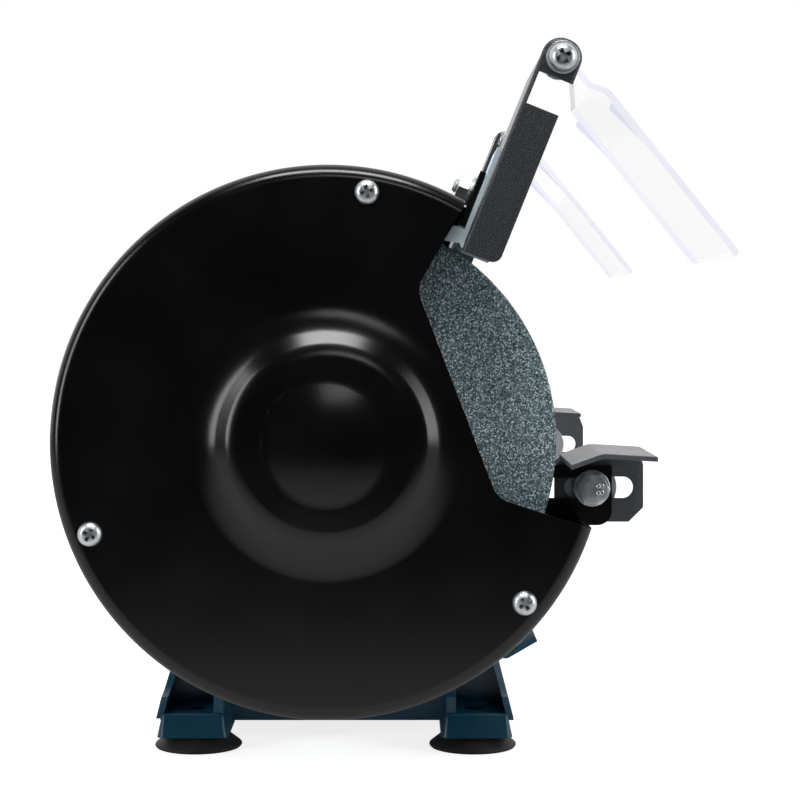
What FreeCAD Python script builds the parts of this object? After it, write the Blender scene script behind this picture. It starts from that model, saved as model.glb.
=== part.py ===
# Bench grinder with two 150 mm wheels, in millimetres.
# X runs along the shaft, the operator stands on the -Y side, Z is up.
# The origin is on the bench, at the centre of the four mounting holes.
import FreeCAD
import Part
import Sketcher
import math
import os
from FreeCAD import Placement, Rotation, Vector

DIMENSIONS = {
    # whole machine
    "wheel_spacing": 266,
    "shaft_height": 116,
    "fit_gap": 0.05,
    "slide_gap": 0.2,
    # grinding wheels and what clamps them
    "wheel_diameter": 150,
    "wheel_width": 16,
    "arbor_diameter": 12.7,
    "blotter_diameter": 54,
    "blotter_thickness": 0.5,
    "flange_diameter": 50,
    "flange_relief_diameter": 36,
    "flange_relief_depth": 1,
    "inner_flange_width": 7,
    "outer_flange_width": 5.5,
    "wheel_nut_flats": 19,
    "wheel_nut_height": 10,
    "arbor_overhang": 3,
    # bearings, shaft and rotor
    "bearing_bore": 15,
    "bearing_outside": 35,
    "bearing_width": 11,
    "bearing_centre": 92,
    "ball_diameter": 6,
    "ball_groove_width": 5.2,
    "race_thickness": 2.9,
    "preload_washer_thickness": 1,
    "core_shaft_diameter": 20,
    "rotor_diameter": 62,
    "rotor_length": 60,
    "cage_ring_diameter": 56,
    "cage_ring_length": 8,
    "rotor_air_gap": 0.5,
    # motor shell, end bells and stator
    "shell_diameter": 116,
    "shell_wall": 2,
    "shell_length": 124,
    "bell_rim_width": 12,
    "bell_cone_inset": 11,
    "bell_boss_diameter": 76,
    "bell_boss_length": 17,
    "bell_spigot_length": 4,
    "bell_wall": 5,
    "bell_hub_wall": 5.5,
    "shaft_opening_diameter": 18,
    "winding_inset": 11,
    "winding_inside": 68,
    "winding_length": 18,
    "tie_bolt_inset": 6,
    "tie_bolt_diameter": 5,
    "tie_bolt_flats": 8,
    "tie_bolt_head": 3.5,
    "tie_bolt_overhang": 3,
    # guards
    "guard_sheet": 1.5,
    "guard_back_gap": 10.3,
    "guard_band_diameter": 177.2,
    "guard_band_width": 34.3,
    "guard_bend": 2.5,
    "guard_shaft_hole": 34,
    "guard_screw_circle": 64,
    "guard_screw_diameter": 5,
    "guard_screw_head": 9,
    "guard_screw_head_height": 3,
    "guard_screw_length": 12,
    "opening_top_angle": 60,
    "opening_bottom_angle": 18,
    "opening_inner_radius": 57.7,
    "opening_corner": 5,
    "tab_reach": 96,
    "tab_top": 10.2,
    "tab_bottom": 30.7,
    "tab_corner": 5,
    "tab_slot_start": 70,
    "tab_slot_width": 7,
    # covers
    "cover_diameter": 180.4,
    "cover_sheet": 1.4,
    "cover_distance": 21,
    "cover_skirt": 12,
    "cover_roll": 5,
    "dome_diameter": 80,
    "dome_ring_diameter": 61,
    "dome_ring_rise": 6.2,
    "dome_cap_diameter": 42,
    "dome_cap_step": 0.7,
    "dome_crown_diameter": 20,
    "dome_rise": 9.5,
    "dome_ring_round": 10,
    "dome_foot_round": 18,
    "cover_screw_circle": 164,
    "cover_screw_angle": 81,
    "cover_screw_diameter": 4,
    "cover_screw_head": 8,
    "cover_screw_head_height": 2.6,
    "cover_screw_length": 12,
    "cover_post_diameter": 7,
    "cover_post_chamfer": 1.1,
    # shield bracket and spark arrester, on a line that leans back
    "bracket_forward": 43.1,
    "bracket_up": 61.9,
    "bracket_lean": 22,
    "bracket_sheet": 1.5,
    "bracket_bend": 1.4,
    "bracket_width": 64,
    "bracket_overhang": 32,
    "bracket_plate_start": 3.6,
    "bracket_plate_end": 66,
    "bracket_flange_length": 51,
    "bracket_flange_depth": 12.5,
    "ear_start": 62,
    "ear_width": 12.4,
    "pivot_along": 68.7,
    "pivot_out": 6.8,
    "guard_flange_start": 8,
    "guard_flange_end": 27,
    "guard_flange_sheet": 2,
    "arrester_sheet": 1.5,
    "arrester_start": 1.2,
    "arrester_end": 36,
    "arrester_width": 35,
    "arrester_lip": 10.6,
    "arrester_wing_end": 6,
    "arrester_wing_depth": 7,
    "clamp_along": 20.5,
    "clamp_diameter": 5,
    "clamp_flats": 8,
    "clamp_head": 3.5,
    "clamp_nut": 4,
    "clamp_washer": 10,
    "washer_thickness": 1,
    "bracket_travel": 5,
    # eye shield
    "shield_outboard": 52,
    "shield_inboard": 38,
    "shield_sheet": 2,
    "shield_lean": 38.7,
    "shield_start": 17.5,
    "shield_inboard_start": 13.5,
    "shield_end": 82,
    "shield_offset": 2.2,
    "shield_boss_diameter": 10,
    "shield_boss_length": 14,
    "shield_neck_start": 12,
    "shield_neck_width": 24,
    "shield_corner": 4,
    "shield_rib_depth": 3,
    "shield_rib_length": 24,
    "pivot_diameter": 5,
    "pivot_head": 9,
    "pivot_head_height": 3.2,
    "pivot_washer": 10.6,
    "pivot_nut_flats": 8,
    "pivot_nut_height": 4,
    # tool rests
    "rest_bolt_forward": 89.1,
    "rest_bolt_down": 17.9,
    "rest_bolt_diameter": 6,
    "rest_bolt_flats": 10,
    "rest_bolt_head": 4,
    "rest_washer": 12.5,
    "rest_back_washer": 18,
    "rest_washer_thickness": 1.2,
    "rest_nut_height": 5,
    "rest_sheet": 2,
    "rest_width": 49,
    "rest_edge_forward": 78.3,
    "rest_edge_down": 6.6,
    "rest_bend_forward": 88.4,
    "rest_bend_down": 3,
    "rest_end_forward": 106,
    "rest_end_down": 4,
    "rest_leg_start": 76.5,
    "rest_leg_end": 107,
    "rest_leg_down": 29.7,
    "rest_leg_chamfer": 5,
    "rest_slot_start": 79.9,
    "rest_slot_end": 103.6,
    "rest_slot_width": 7.4,
    # base casting
    "base_length": 112,
    "base_depth": 131.6,
    "base_bottom": 6.5,
    "base_top": 76,
    "base_slope": 0.25,
    "base_wall": 4,
    "base_end_wall": 5,
    "saddle_web": 6,
    "hole_spacing_x": 138,
    "hole_spacing_y": 100,
    "bench_hole_diameter": 7,
    "foot_reach": 82,
    "foot_outer": 64,
    "foot_width": 25.8,
    "foot_bottom": 5.3,
    "foot_top": 13.7,
    "foot_corner": 3,
    "foot_draft": 12,
    "foot_round": 1.5,
    "foot_rib": 2.4,
    "foot_inner_rib": 3.5,
    "foot_rib_top": 46,
    "foot_rib_shoulder": 20,
    "foot_rib_sweep": 10,
    "rubber_diameter": 32,
    "rubber_neck_diameter": 22,
    "rubber_lip": 1.6,
    "plate_sheet": 1.5,
    "plate_screw_x": 90,
    "plate_screw_y": 112,
    "plate_post_diameter": 11,
    "plate_post_height": 14,
    "plate_screw_diameter": 4,
    "plate_screw_head": 7.5,
    "plate_screw_head_height": 2.2,
    "plate_screw_length": 9,
    # switch, lip and cord inlet
    "switch_height": 47.5,
    "switch_frame_width": 30,
    "switch_frame_height": 21,
    "switch_frame_depth": 3,
    "switch_hole_width": 21,
    "switch_hole_height": 14,
    "switch_body_depth": 18,
    "trunnion_diameter": 1.8,
    "trunnion_length": 2,
    "rocker_proud": 3,
    "lip_width": 80,
    "lip_sheet": 2.4,
    "lip_flange_top": 36,
    "lip_bend": 24.8,
    "lip_bend_radius": 3.4,
    "lip_lean": 30,
    "lip_reach": 75.8,
    "lip_screw_x": 56,
    "lip_screw_z": 31.5,
    "lip_screw_head": 7,
    "lip_screw_head_height": 2.2,
    "lip_screw_diameter": 4,
    "lip_screw_length": 6,
    "gland_x": 28,
    "gland_height": 28,
    "gland_boss_diameter": 24,
    "gland_face": 63.2,
    "gland_bore": 7.5,
    "gland_thread": 12,
    "gland_flange": 20,
    "gland_flange_width": 4,
    "gland_nose": 12,
    "gland_tail": 15,
    # electrical pieces in the base
    "capacitor_diameter": 35,
    "capacitor_length": 62,
    "capacitor_back": 24,
    "terminal_width": 36,
    "terminal_depth": 18,
    "terminal_height": 14,
    "terminal_front": 24,
}

doc = FreeCAD.newDocument("bench_grinder")
sheet = doc.addObject("Spreadsheet::Sheet", "dims")
for row, (alias, number) in enumerate(DIMENSIONS.items(), 1):
    sheet.set(f"A{row}", alias)
    sheet.set(f"B{row}", str(number))
    sheet.setAlias(f"B{row}", alias)
doc.recompute()

nodes = []


def value(expression):
    """The number that an expression over the sheet gives now."""
    return float(sheet.evalExpression(expression.replace("dims.", "")))


def keep(obj, label):
    """Name an object as a finished sub-part."""
    obj.Label = label
    nodes.append(obj)
    return obj


def bind(obj, **expressions):
    """Tie properties to the sheet; double underscores stand for dots."""
    for name, expression in expressions.items():
        obj.setExpression(name.replace("__", "."), expression)


def new_body(name):
    return doc.addObject("PartDesign::Body", name)


def new_sketch(body, role, turn=None, **offset):
    """A sketch on one of the body's own planes, moved and turned there."""
    sketch = body.newObject("Sketcher::SketchObject", "sketch")
    plane = next(part for part in body.Origin.OriginFeatures if part.Role == role)
    sketch.AttachmentSupport = (plane, [""])
    sketch.MapMode = "FlatFace"
    if turn:
        sketch.AttachmentOffset = Placement(Vector(), turn)
    for axis, expression in offset.items():
        sketch.setExpression(f"AttachmentOffset.Base.{axis}", expression)
    return sketch


def side_sketch(body, outboard):
    """Sketch seen from outside the left wheel: x forward, y up from the shaft, depth outboard."""
    flip = Rotation(Vector(0, 1, 0), 180)
    return new_sketch(body, "YZ_Plane", flip, y="dims.shaft_height", z=f"-({outboard})")


def axial_sketch(body):
    """Half section on the shaft axis: x outboard on the left side, y the radius."""
    return new_sketch(body, "XZ_Plane", Rotation(Vector(0, 1, 0), 180), y="dims.shaft_height")


def fix_point(sketch, geometry, position, x, y):
    """Hold a point of the sketch at two expressions."""
    for kind, expression in (("DistanceX", x), ("DistanceY", y)):
        constraint = Sketcher.Constraint(kind, -1, 1, geometry, position, value(expression))
        index = sketch.addConstraint(constraint)
        sketch.setExpression(f"Constraints[{index}]", expression)


def fix_radius(sketch, geometry, expression):
    index = sketch.addConstraint(Sketcher.Constraint("Radius", geometry, value(expression)))
    sketch.setExpression(f"Constraints[{index}]", expression)


def circle(sketch, x, y, radius):
    centre = Vector(value(x), value(y), 0)
    geometry = sketch.addGeometry(Part.Circle(centre, Vector(0, 0, 1), value(radius)), False)
    fix_point(sketch, geometry, 3, x, y)
    fix_radius(sketch, geometry, radius)


def add_arc(sketch, start, middle, end):
    """An arc, always stored anticlockwise, with the numbers of its start and end points."""
    if (middle - start).cross(end - middle).z > 0:
        return sketch.addGeometry(Part.Arc(start, middle, end), False), 1, 2
    return sketch.addGeometry(Part.Arc(end, middle, start), False), 2, 1


def outline(sketch, points):
    """A closed outline through (x, y) or (x, y, corner radius), all expressions."""
    corners = [Vector(value(point[0]), value(point[1]), 0) for point in points]
    count = len(points)
    starts = []
    ends = []
    middles = []
    for i in range(count):
        back = (corners[i - 1] - corners[i]).normalize()
        ahead = (corners[(i + 1) % count] - corners[i]).normalize()
        if len(points[i]) == 2:
            starts.append(corners[i])
            ends.append(corners[i])
            middles.append(None)
            continue
        radius = value(points[i][2])
        half = back.getAngle(ahead) / 2
        inward = (back + ahead).normalize()
        starts.append(corners[i] + back * (radius / math.tan(half)))
        ends.append(corners[i] + ahead * (radius / math.tan(half)))
        middles.append(corners[i] + inward * (radius / math.sin(half) - radius))
    lines = []
    for i in range(count):
        line = Part.LineSegment(ends[i], starts[(i + 1) % count])
        lines.append(sketch.addGeometry(line, False))
    for i, point in enumerate(points):
        if middles[i] is None:
            sketch.addConstraint(Sketcher.Constraint("Coincident", lines[i - 1], 2, lines[i], 1))
            fix_point(sketch, lines[i], 1, point[0], point[1])
            continue
        arc, first, last = add_arc(sketch, starts[i], middles[i], ends[i])
        sketch.addConstraint(Sketcher.Constraint("Tangent", lines[i - 1], 2, arc, first))
        sketch.addConstraint(Sketcher.Constraint("Tangent", lines[i], 1, arc, last))
        fix_radius(sketch, arc, point[2])
        corner = sketch.addGeometry(Part.Point(corners[i]), True)
        fix_point(sketch, corner, 1, point[0], point[1])
        sketch.addConstraint(Sketcher.Constraint("PointOnObject", corner, 1, lines[i - 1]))
        sketch.addConstraint(Sketcher.Constraint("PointOnObject", corner, 1, lines[i]))


def box_outline(sketch, left, right, low, high, corner=None):
    rest = (corner,) if corner else ()
    outline(sketch, [(left, low) + rest, (right, low) + rest, (right, high) + rest, (left, high) + rest])


def slot(sketch, start, end, level, width):
    """A slot with round ends along the sketch's x axis; start and end are its tips."""
    radius = f"({width}) / 2"
    left = f"({start}) + {radius}"
    right = f"({end}) - {radius}"
    half = value(radius)
    first = Vector(value(left), value(level), 0)
    last = Vector(value(right), value(level), 0)
    rise = Vector(0, half, 0)
    along = Vector(half, 0, 0)
    top = sketch.addGeometry(Part.LineSegment(first + rise, last + rise), False)
    low = sketch.addGeometry(Part.LineSegment(last - rise, first - rise), False)
    right_arc, right_top, right_low = add_arc(sketch, last + rise, last + along, last - rise)
    left_arc, left_low, left_top = add_arc(sketch, first - rise, first - along, first + rise)
    for line, line_end, arc, arc_end in (
        (top, 2, right_arc, right_top),
        (low, 1, right_arc, right_low),
        (low, 2, left_arc, left_low),
        (top, 1, left_arc, left_top),
    ):
        sketch.addConstraint(Sketcher.Constraint("Tangent", line, line_end, arc, arc_end))
    fix_point(sketch, right_arc, 3, right, level)
    fix_point(sketch, left_arc, 3, left, level)
    fix_radius(sketch, left_arc, radius)


def pad(body, sketch, length, midplane=False):
    feature = body.newObject("PartDesign::Pad", "pad")
    feature.Profile = sketch
    feature.setExpression("Length", length)
    if midplane:
        feature.SideType = "Symmetric"
    return feature


def pocket(body, sketch, length, midplane=False, reverse=False):
    feature = body.newObject("PartDesign::Pocket", "pocket")
    feature.Profile = sketch
    feature.setExpression("Length", length)
    feature.Reversed = reverse
    if midplane:
        feature.SideType = "Symmetric"
    return feature


def revolve(body, sketch, axis="H_Axis"):
    feature = body.newObject("PartDesign::Revolution", "revolution")
    feature.Profile = sketch
    feature.ReferenceAxis = (sketch, [axis])
    feature.Angle = 360
    return feature


def round_edges(body, radius, chosen):
    """Fillet those edges of a body that the test picks."""
    doc.recompute()
    last = body.Tip
    names = [f"Edge{number}" for number, edge in enumerate(last.Shape.Edges, 1) if chosen(edge.BoundBox)]
    feature = body.newObject("PartDesign::Fillet", "fillet")
    feature.Base = (last, names)
    feature.setExpression("Radius", radius)
    return feature


def near(first, second):
    return abs(first - second) < 0.001


def mirror(source, normal=Vector(1, 0, 0)):
    """The same piece on the other side of the machine's middle."""
    copy = doc.addObject("Part::Mirroring", "mirror")
    copy.Source = source
    copy.Normal = normal
    return copy


def both_sides(source, name):
    """Keep a left piece and its right-hand twin as two nodes."""
    keep(source, f"left_{name}")
    keep(mirror(source), f"right_{name}")


def group(pieces, label):
    """Identical small pieces that share one node."""
    compound = doc.addObject("Part::Compound", "group")
    compound.Links = pieces
    return keep(compound, label)


def cut(base, tools):
    result = doc.addObject("Part::Cut", "cut")
    result.Base = base
    result.Tool = tools[0] if len(tools) == 1 else fuse(tools)
    return result


def fuse(pieces):
    result = doc.addObject("Part::MultiFuse", "fuse")
    result.Shapes = pieces
    return result


def ring(name, inner, outer, start, end):
    """A plain ring about the shaft, from one outboard distance to another."""
    body = new_body(name)
    sketch = axial_sketch(body)
    box_outline(sketch, start, end, inner, outer)
    revolve(body, sketch)
    return body


def place_x(obj, outboard, forward, up):
    """Set a piece made along its own Z so that it points outboard on the left side."""
    obj.Placement = Placement(Vector(), Rotation(Vector(0, 1, 0), -90))
    bind(obj, Placement__Base__x=f"-({outboard})", Placement__Base__y=f"-({forward})", Placement__Base__z=up)


def hexagon(sketch, flats):
    outline(sketch, [
        (f"{flats} / 2 / cos(30) * cos({60 * k})", f"{flats} / 2 / cos(30) * sin({60 * k})")
        for k in range(6)
    ])


def pan_screw(name, head, head_height, diameter, length):
    """Pan-head screw along Z: the head sits on z = 0, the shank goes down."""
    body = new_body(name)
    sketch = new_sketch(body, "XZ_Plane")
    outline(sketch, [
        ("0", f"-({length})"),
        (f"{diameter} / 2", f"-({length})"),
        (f"{diameter} / 2", "0"),
        (f"{head} / 2", "0"),
        (f"{head} / 2", head_height, f"{head_height} * 0.7"),
        ("0", head_height),
    ])
    revolve(body, sketch, "V_Axis")
    return body


def hex_bolt(name, flats, head_height, diameter, length):
    """Hexagon bolt along Z: the head sits on z = 0, the shank goes down."""
    body = new_body(name)
    head = new_sketch(body, "XY_Plane")
    hexagon(head, flats)
    pad(body, head, head_height)
    shank = new_sketch(body, "XY_Plane")
    circle(shank, "0", "0", f"{diameter} / 2")
    pad(body, shank, length).Reversed = True
    return body


def hex_nut(name, flats, height, hole):
    """Nut along Z from z = 0 upwards."""
    body = new_body(name)
    sketch = new_sketch(body, "XY_Plane")
    hexagon(sketch, flats)
    circle(sketch, "0", "0", f"({hole}) / 2")
    pad(body, sketch, height)
    return body


def washer(name, outside, hole, thickness):
    """Washer along Z from z = 0 upwards."""
    body = new_body(name)
    sketch = new_sketch(body, "XY_Plane")
    circle(sketch, "0", "0", f"({outside}) / 2")
    circle(sketch, "0", "0", f"({hole}) / 2")
    pad(body, sketch, thickness)
    return body


# Stations along the shaft, as distances outboard from the middle
WHEEL = "dims.wheel_spacing / 2"
WHEEL_IN = f"({WHEEL} - dims.wheel_width / 2)"
WHEEL_OUT = f"({WHEEL} + dims.wheel_width / 2)"
SHOULDER = f"({WHEEL_IN} - dims.blotter_thickness - dims.inner_flange_width)"
NUT_SEAT = f"({WHEEL_OUT} + dims.blotter_thickness + dims.outer_flange_width)"
SHAFT_END = f"({NUT_SEAT} + dims.wheel_nut_height + dims.arbor_overhang)"
BACK_FRONT = f"({WHEEL_IN} - dims.guard_back_gap)"
BACK_REAR = f"({BACK_FRONT} - dims.guard_sheet)"
COVER_FACE = f"({WHEEL} + dims.cover_distance)"
SHELL_END = "(dims.shell_length / 2)"
BELL_FACE = f"({SHELL_END} + dims.bell_rim_width)"
BEARING_IN = "(dims.bearing_centre - dims.bearing_width / 2)"
BEARING_OUT = "(dims.bearing_centre + dims.bearing_width / 2)"


# Shaft, stepped from the core to the bearings and the wheels
shaft = new_body("shaft")
sketch = axial_sketch(shaft)
outline(sketch, [
    (f"-{SHAFT_END}", "0"),
    (f"-{SHAFT_END}", "dims.arbor_diameter / 2"),
    (f"-{SHOULDER}", "dims.arbor_diameter / 2"),
    (f"-{SHOULDER}", "dims.bearing_bore / 2"),
    (f"-{BEARING_IN}", "dims.bearing_bore / 2"),
    (f"-{BEARING_IN}", "dims.core_shaft_diameter / 2"),
    (BEARING_IN, "dims.core_shaft_diameter / 2"),
    (BEARING_IN, "dims.bearing_bore / 2"),
    (SHOULDER, "dims.bearing_bore / 2"),
    (SHOULDER, "dims.arbor_diameter / 2"),
    (SHAFT_END, "dims.arbor_diameter / 2"),
    (SHAFT_END, "0"),
])
revolve(shaft, sketch)
keep(shaft, "rotor_shaft")

# Rotor core with its cast end rings
rotor = new_body("rotor")
sketch = axial_sketch(rotor)
CORE_END = "dims.rotor_length / 2"
RING_END = f"({CORE_END} + dims.cage_ring_length)"
outline(sketch, [
    (f"-{RING_END}", "dims.core_shaft_diameter / 2 + dims.fit_gap"),
    (f"-{RING_END}", "dims.cage_ring_diameter / 2"),
    (f"-{CORE_END}", "dims.cage_ring_diameter / 2"),
    (f"-{CORE_END}", "dims.rotor_diameter / 2"),
    (CORE_END, "dims.rotor_diameter / 2"),
    (CORE_END, "dims.cage_ring_diameter / 2"),
    (RING_END, "dims.cage_ring_diameter / 2"),
    (RING_END, "dims.core_shaft_diameter / 2 + dims.fit_gap"),
])
revolve(rotor, sketch)
keep(rotor, "rotor_core")


def race(name, bore_side, sign):
    """A bearing ring whose groove faces the balls; sign points from the groove to the ring's back."""
    body = new_body(name)
    sketch = axial_sketch(body)
    edge = f"{bore_side} - ({sign}) * dims.race_thickness"
    floor = f"(dims.bearing_bore + dims.bearing_outside) / 4 + ({sign}) * (dims.ball_diameter / 2 + 0.1)"
    groove = "dims.ball_groove_width / 2"
    outline(sketch, [
        (BEARING_IN, bore_side),
        (BEARING_OUT, bore_side),
        (BEARING_OUT, edge),
        (f"dims.bearing_centre + {groove}", edge),
        (f"dims.bearing_centre + {groove} - 1", floor),
        (f"dims.bearing_centre - {groove} + 1", floor),
        (f"dims.bearing_centre - {groove}", edge),
        (BEARING_IN, edge),
    ])
    revolve(body, sketch)
    return body


# Ball bearings: rings, balls and the preload washers behind the outer rings
outer_race = race("outer_race", "dims.bearing_outside / 2", "1")
inner_race = race("inner_race", "dims.bearing_bore / 2 + dims.fit_gap", "-1")
group([outer_race, mirror(outer_race)], "bearing_outer_rings")
group([inner_race, mirror(inner_race)], "bearing_inner_rings")
PITCH = "(dims.bearing_bore + dims.bearing_outside) / 4"
BALL_COUNT = 8
balls = []
for k in range(BALL_COUNT):
    ball = doc.addObject("Part::Sphere", "ball")
    turn = 360 / BALL_COUNT * k
    bind(
        ball,
        Radius="dims.ball_diameter / 2",
        Placement__Base__x="-dims.bearing_centre",
        Placement__Base__y=f"{PITCH} * cos({turn})",
        Placement__Base__z=f"dims.shaft_height + {PITCH} * sin({turn})",
    )
    balls += [ball, mirror(ball)]
group(balls, "bearing_balls")
preload = ring(
    "preload", "dims.shaft_opening_diameter / 2 + 4", "dims.bearing_outside / 2 - 0.3",
    BEARING_OUT, f"{BEARING_OUT} + dims.preload_washer_thickness",
)
group([preload, mirror(preload)], "preload_washers")

# Grinding wheels, blotters, flanges and nuts
BORE = "dims.arbor_diameter / 2 + dims.fit_gap"
wheel = ring("wheel", BORE, "dims.wheel_diameter / 2", WHEEL_IN, WHEEL_OUT)
both_sides(wheel, "wheel")
blotters = []
for start in (f"{WHEEL_IN} - dims.blotter_thickness", WHEEL_OUT):
    blotter = ring("blotter", BORE, "dims.blotter_diameter / 2", start, f"{start} + dims.blotter_thickness")
    blotters += [blotter, mirror(blotter)]
group(blotters, "wheel_blotters")


def wheel_flange(name, back, face, toward):
    """Clamping flange with a relieved face, so that only its rim bears on the wheel."""
    body = new_body(name)
    sketch = axial_sketch(body)
    relieved = f"{face} - ({toward}) * dims.flange_relief_depth"
    outline(sketch, [
        (back, BORE),
        (back, "dims.flange_diameter / 2 - 3"),
        (f"{back} + ({toward}) * 3", "dims.flange_diameter / 2"),
        (face, "dims.flange_diameter / 2"),
        (face, "dims.flange_relief_diameter / 2"),
        (relieved, "dims.flange_relief_diameter / 2"),
        (relieved, BORE),
    ])
    revolve(body, sketch)
    return body


both_sides(wheel_flange("inner_flange", SHOULDER, f"({SHOULDER} + dims.inner_flange_width)", "1"), "inner_flange")
both_sides(wheel_flange("outer_flange", NUT_SEAT, f"({NUT_SEAT} - dims.outer_flange_width)", "-1"), "outer_flange")
wheel_nut = hex_nut("wheel_nut", "dims.wheel_nut_flats", "dims.wheel_nut_height", f"2 * ({BORE})")
place_x(wheel_nut, NUT_SEAT, "0", "dims.shaft_height")
both_sides(wheel_nut, "wheel_nut")

# Motor shell, stator core and end windings
SHELL_BORE = "(dims.shell_diameter / 2 - dims.shell_wall)"
motor_shell = ring("motor_shell", SHELL_BORE, "dims.shell_diameter / 2", f"-{SHELL_END}", SHELL_END)
keep(motor_shell, "motor_shell")
winding = new_body("winding")
sketch = axial_sketch(winding)
WINDING_OUT = "(dims.shell_diameter / 2 - dims.winding_inset)"
box_outline(
    sketch, CORE_END, f"{CORE_END} + dims.winding_length",
    "dims.winding_inside / 2", WINDING_OUT, f"({WINDING_OUT} - dims.winding_inside / 2) * 0.38",
)
revolve(winding, sketch)
group([winding, mirror(winding)], "stator_windings")
TIE_RADIUS = "(dims.shell_diameter / 2 - dims.tie_bolt_inset)"
TIE_ANGLES = (45, 135, 225, 315)


def drill_ties(body, start, length):
    """The four tie-bolt holes, from one outboard distance outwards."""
    sketch = side_sketch(body, start)
    for angle in TIE_ANGLES:
        circle(
            sketch, f"{TIE_RADIUS} * cos({angle})", f"{TIE_RADIUS} * sin({angle})",
            "dims.tie_bolt_diameter / 2 + dims.slide_gap",
        )
    return pocket(body, sketch, length, reverse=True)


stator = ring(
    "stator", "dims.rotor_diameter / 2 + dims.rotor_air_gap", SHELL_BORE,
    f"-({CORE_END})", CORE_END,
)
drill_ties(stator, f"-({CORE_END})", "dims.rotor_length")
keep(stator, "stator_core")

# End bells: rim, cone, boss towards the guard, and the bearing seat inside
bell = new_body("bell")
sketch = axial_sketch(bell)
BOSS_START = f"({BACK_REAR} - dims.bell_boss_length)"
SEAT_END = f"({BEARING_OUT} + dims.preload_washer_thickness)"
HUB = "(dims.bearing_outside / 2 + dims.bell_hub_wall)"
CONE = "(dims.shell_diameter / 2 - dims.bell_cone_inset)"
INNER_FACE = f"({BOSS_START} - dims.bell_wall)"
outline(sketch, [
    (f"{SHELL_END} - dims.bell_spigot_length", f"{SHELL_BORE} - 3"),
    (f"{SHELL_END} - dims.bell_spigot_length", f"{SHELL_BORE} - dims.fit_gap"),
    (SHELL_END, f"{SHELL_BORE} - dims.fit_gap"),
    (SHELL_END, "dims.shell_diameter / 2"),
    (BELL_FACE, "dims.shell_diameter / 2", "3"),
    (BELL_FACE, CONE),
    (BOSS_START, "dims.bell_boss_diameter / 2", "6"),
    (BACK_REAR, "dims.bell_boss_diameter / 2"),
    (BACK_REAR, "dims.shaft_opening_diameter / 2"),
    (SEAT_END, "dims.shaft_opening_diameter / 2"),
    (SEAT_END, "dims.bearing_outside / 2 + dims.fit_gap"),
    (f"{BEARING_IN} - 2", "dims.bearing_outside / 2 + dims.fit_gap"),
    (f"{BEARING_IN} - 2", HUB),
    (INNER_FACE, HUB),
    (INNER_FACE, "dims.bell_boss_diameter / 2 - dims.bell_wall"),
    (f"{BELL_FACE} - dims.bell_wall", f"{CONE} - dims.bell_wall"),
    (f"{BELL_FACE} - dims.bell_wall", f"{SHELL_BORE} - 3"),
])
revolve(bell, sketch)
drill_ties(bell, f"{SHELL_END} - dims.bell_spigot_length - 1", "dims.bell_rim_width + dims.bell_spigot_length + 2")
GUARD_SCREW_ANGLES = (0, 90, 180, 270)


def drill_guard_screws(body, start, length, gap):
    """Holes for the screws that hold the guard on the end bell."""
    sketch = side_sketch(body, start)
    for angle in GUARD_SCREW_ANGLES:
        circle(
            sketch, f"dims.guard_screw_circle / 2 * cos({angle})", f"dims.guard_screw_circle / 2 * sin({angle})",
            f"dims.guard_screw_diameter / 2 + {gap}",
        )
    return pocket(body, sketch, length, reverse=True)


drill_guard_screws(bell, f"{BACK_REAR} - dims.guard_screw_length", "dims.guard_screw_length + 1", "dims.fit_gap")
both_sides(bell, "end_bell")

# Tie bolts through both end bells, with their nuts on the right
tie_bolts = []
tie_nuts = []
for angle in TIE_ANGLES:
    forward = f"{TIE_RADIUS} * cos({angle})"
    up = f"dims.shaft_height + {TIE_RADIUS} * sin({angle})"
    bolt = hex_bolt(
        "tie_bolt", "dims.tie_bolt_flats", "dims.tie_bolt_head", "dims.tie_bolt_diameter",
        f"2 * {BELL_FACE} + dims.tie_bolt_head + dims.tie_bolt_overhang",
    )
    place_x(bolt, BELL_FACE, forward, up)
    tie_bolts.append(bolt)
    nut = hex_nut("tie_nut", "dims.tie_bolt_flats", "dims.tie_bolt_head", "dims.tie_bolt_diameter + 2 * dims.fit_gap")
    place_x(nut, BELL_FACE, forward, up)
    tie_nuts.append(mirror(nut))
group(tie_bolts, "tie_bolts")
group(tie_nuts, "tie_nuts")


# The bracket line: a point on it is bracket base + along * rise - back * depth
LEAN_COS = "cos(dims.bracket_lean)"
LEAN_SIN = "sin(dims.bracket_lean)"


def on_bracket(along, out):
    """Forward and up of a point given along the leaning bracket and out from its rear face."""
    forward = f"dims.bracket_forward + ({along}) * {LEAN_SIN} + ({out}) * {LEAN_COS}"
    up = f"dims.bracket_up + ({along}) * {LEAN_COS} - ({out}) * {LEAN_SIN}"
    return forward, up


def lean(body, along="0", out="0", outboard=WHEEL):
    """Set a body built upright so that its Z runs along the bracket and its -Y points forward."""
    forward, up = on_bracket(along, out)
    body.Placement = Placement(Vector(), Rotation(Vector(1, 0, 0), 22))
    bind(
        body,
        Placement__Base__x=f"-({outboard})",
        Placement__Base__y=f"-({forward})",
        Placement__Base__z=f"dims.shaft_height + {up}",
        Placement__Rotation__Angle="dims.bracket_lean",
    )


def lean_out(obj, out):
    """Point a piece made along its own Z forward from the bracket, at the clamp bolt."""
    forward, up = on_bracket("dims.clamp_along", out)
    obj.Placement = Placement(Vector(), Rotation(Vector(1, 0, 0), 112))
    bind(
        obj,
        Placement__Base__x=f"-({WHEEL})",
        Placement__Base__y=f"-({forward})",
        Placement__Base__z=f"dims.shaft_height + {up}",
        Placement__Rotation__Angle="dims.bracket_lean + 90",
    )


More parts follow.
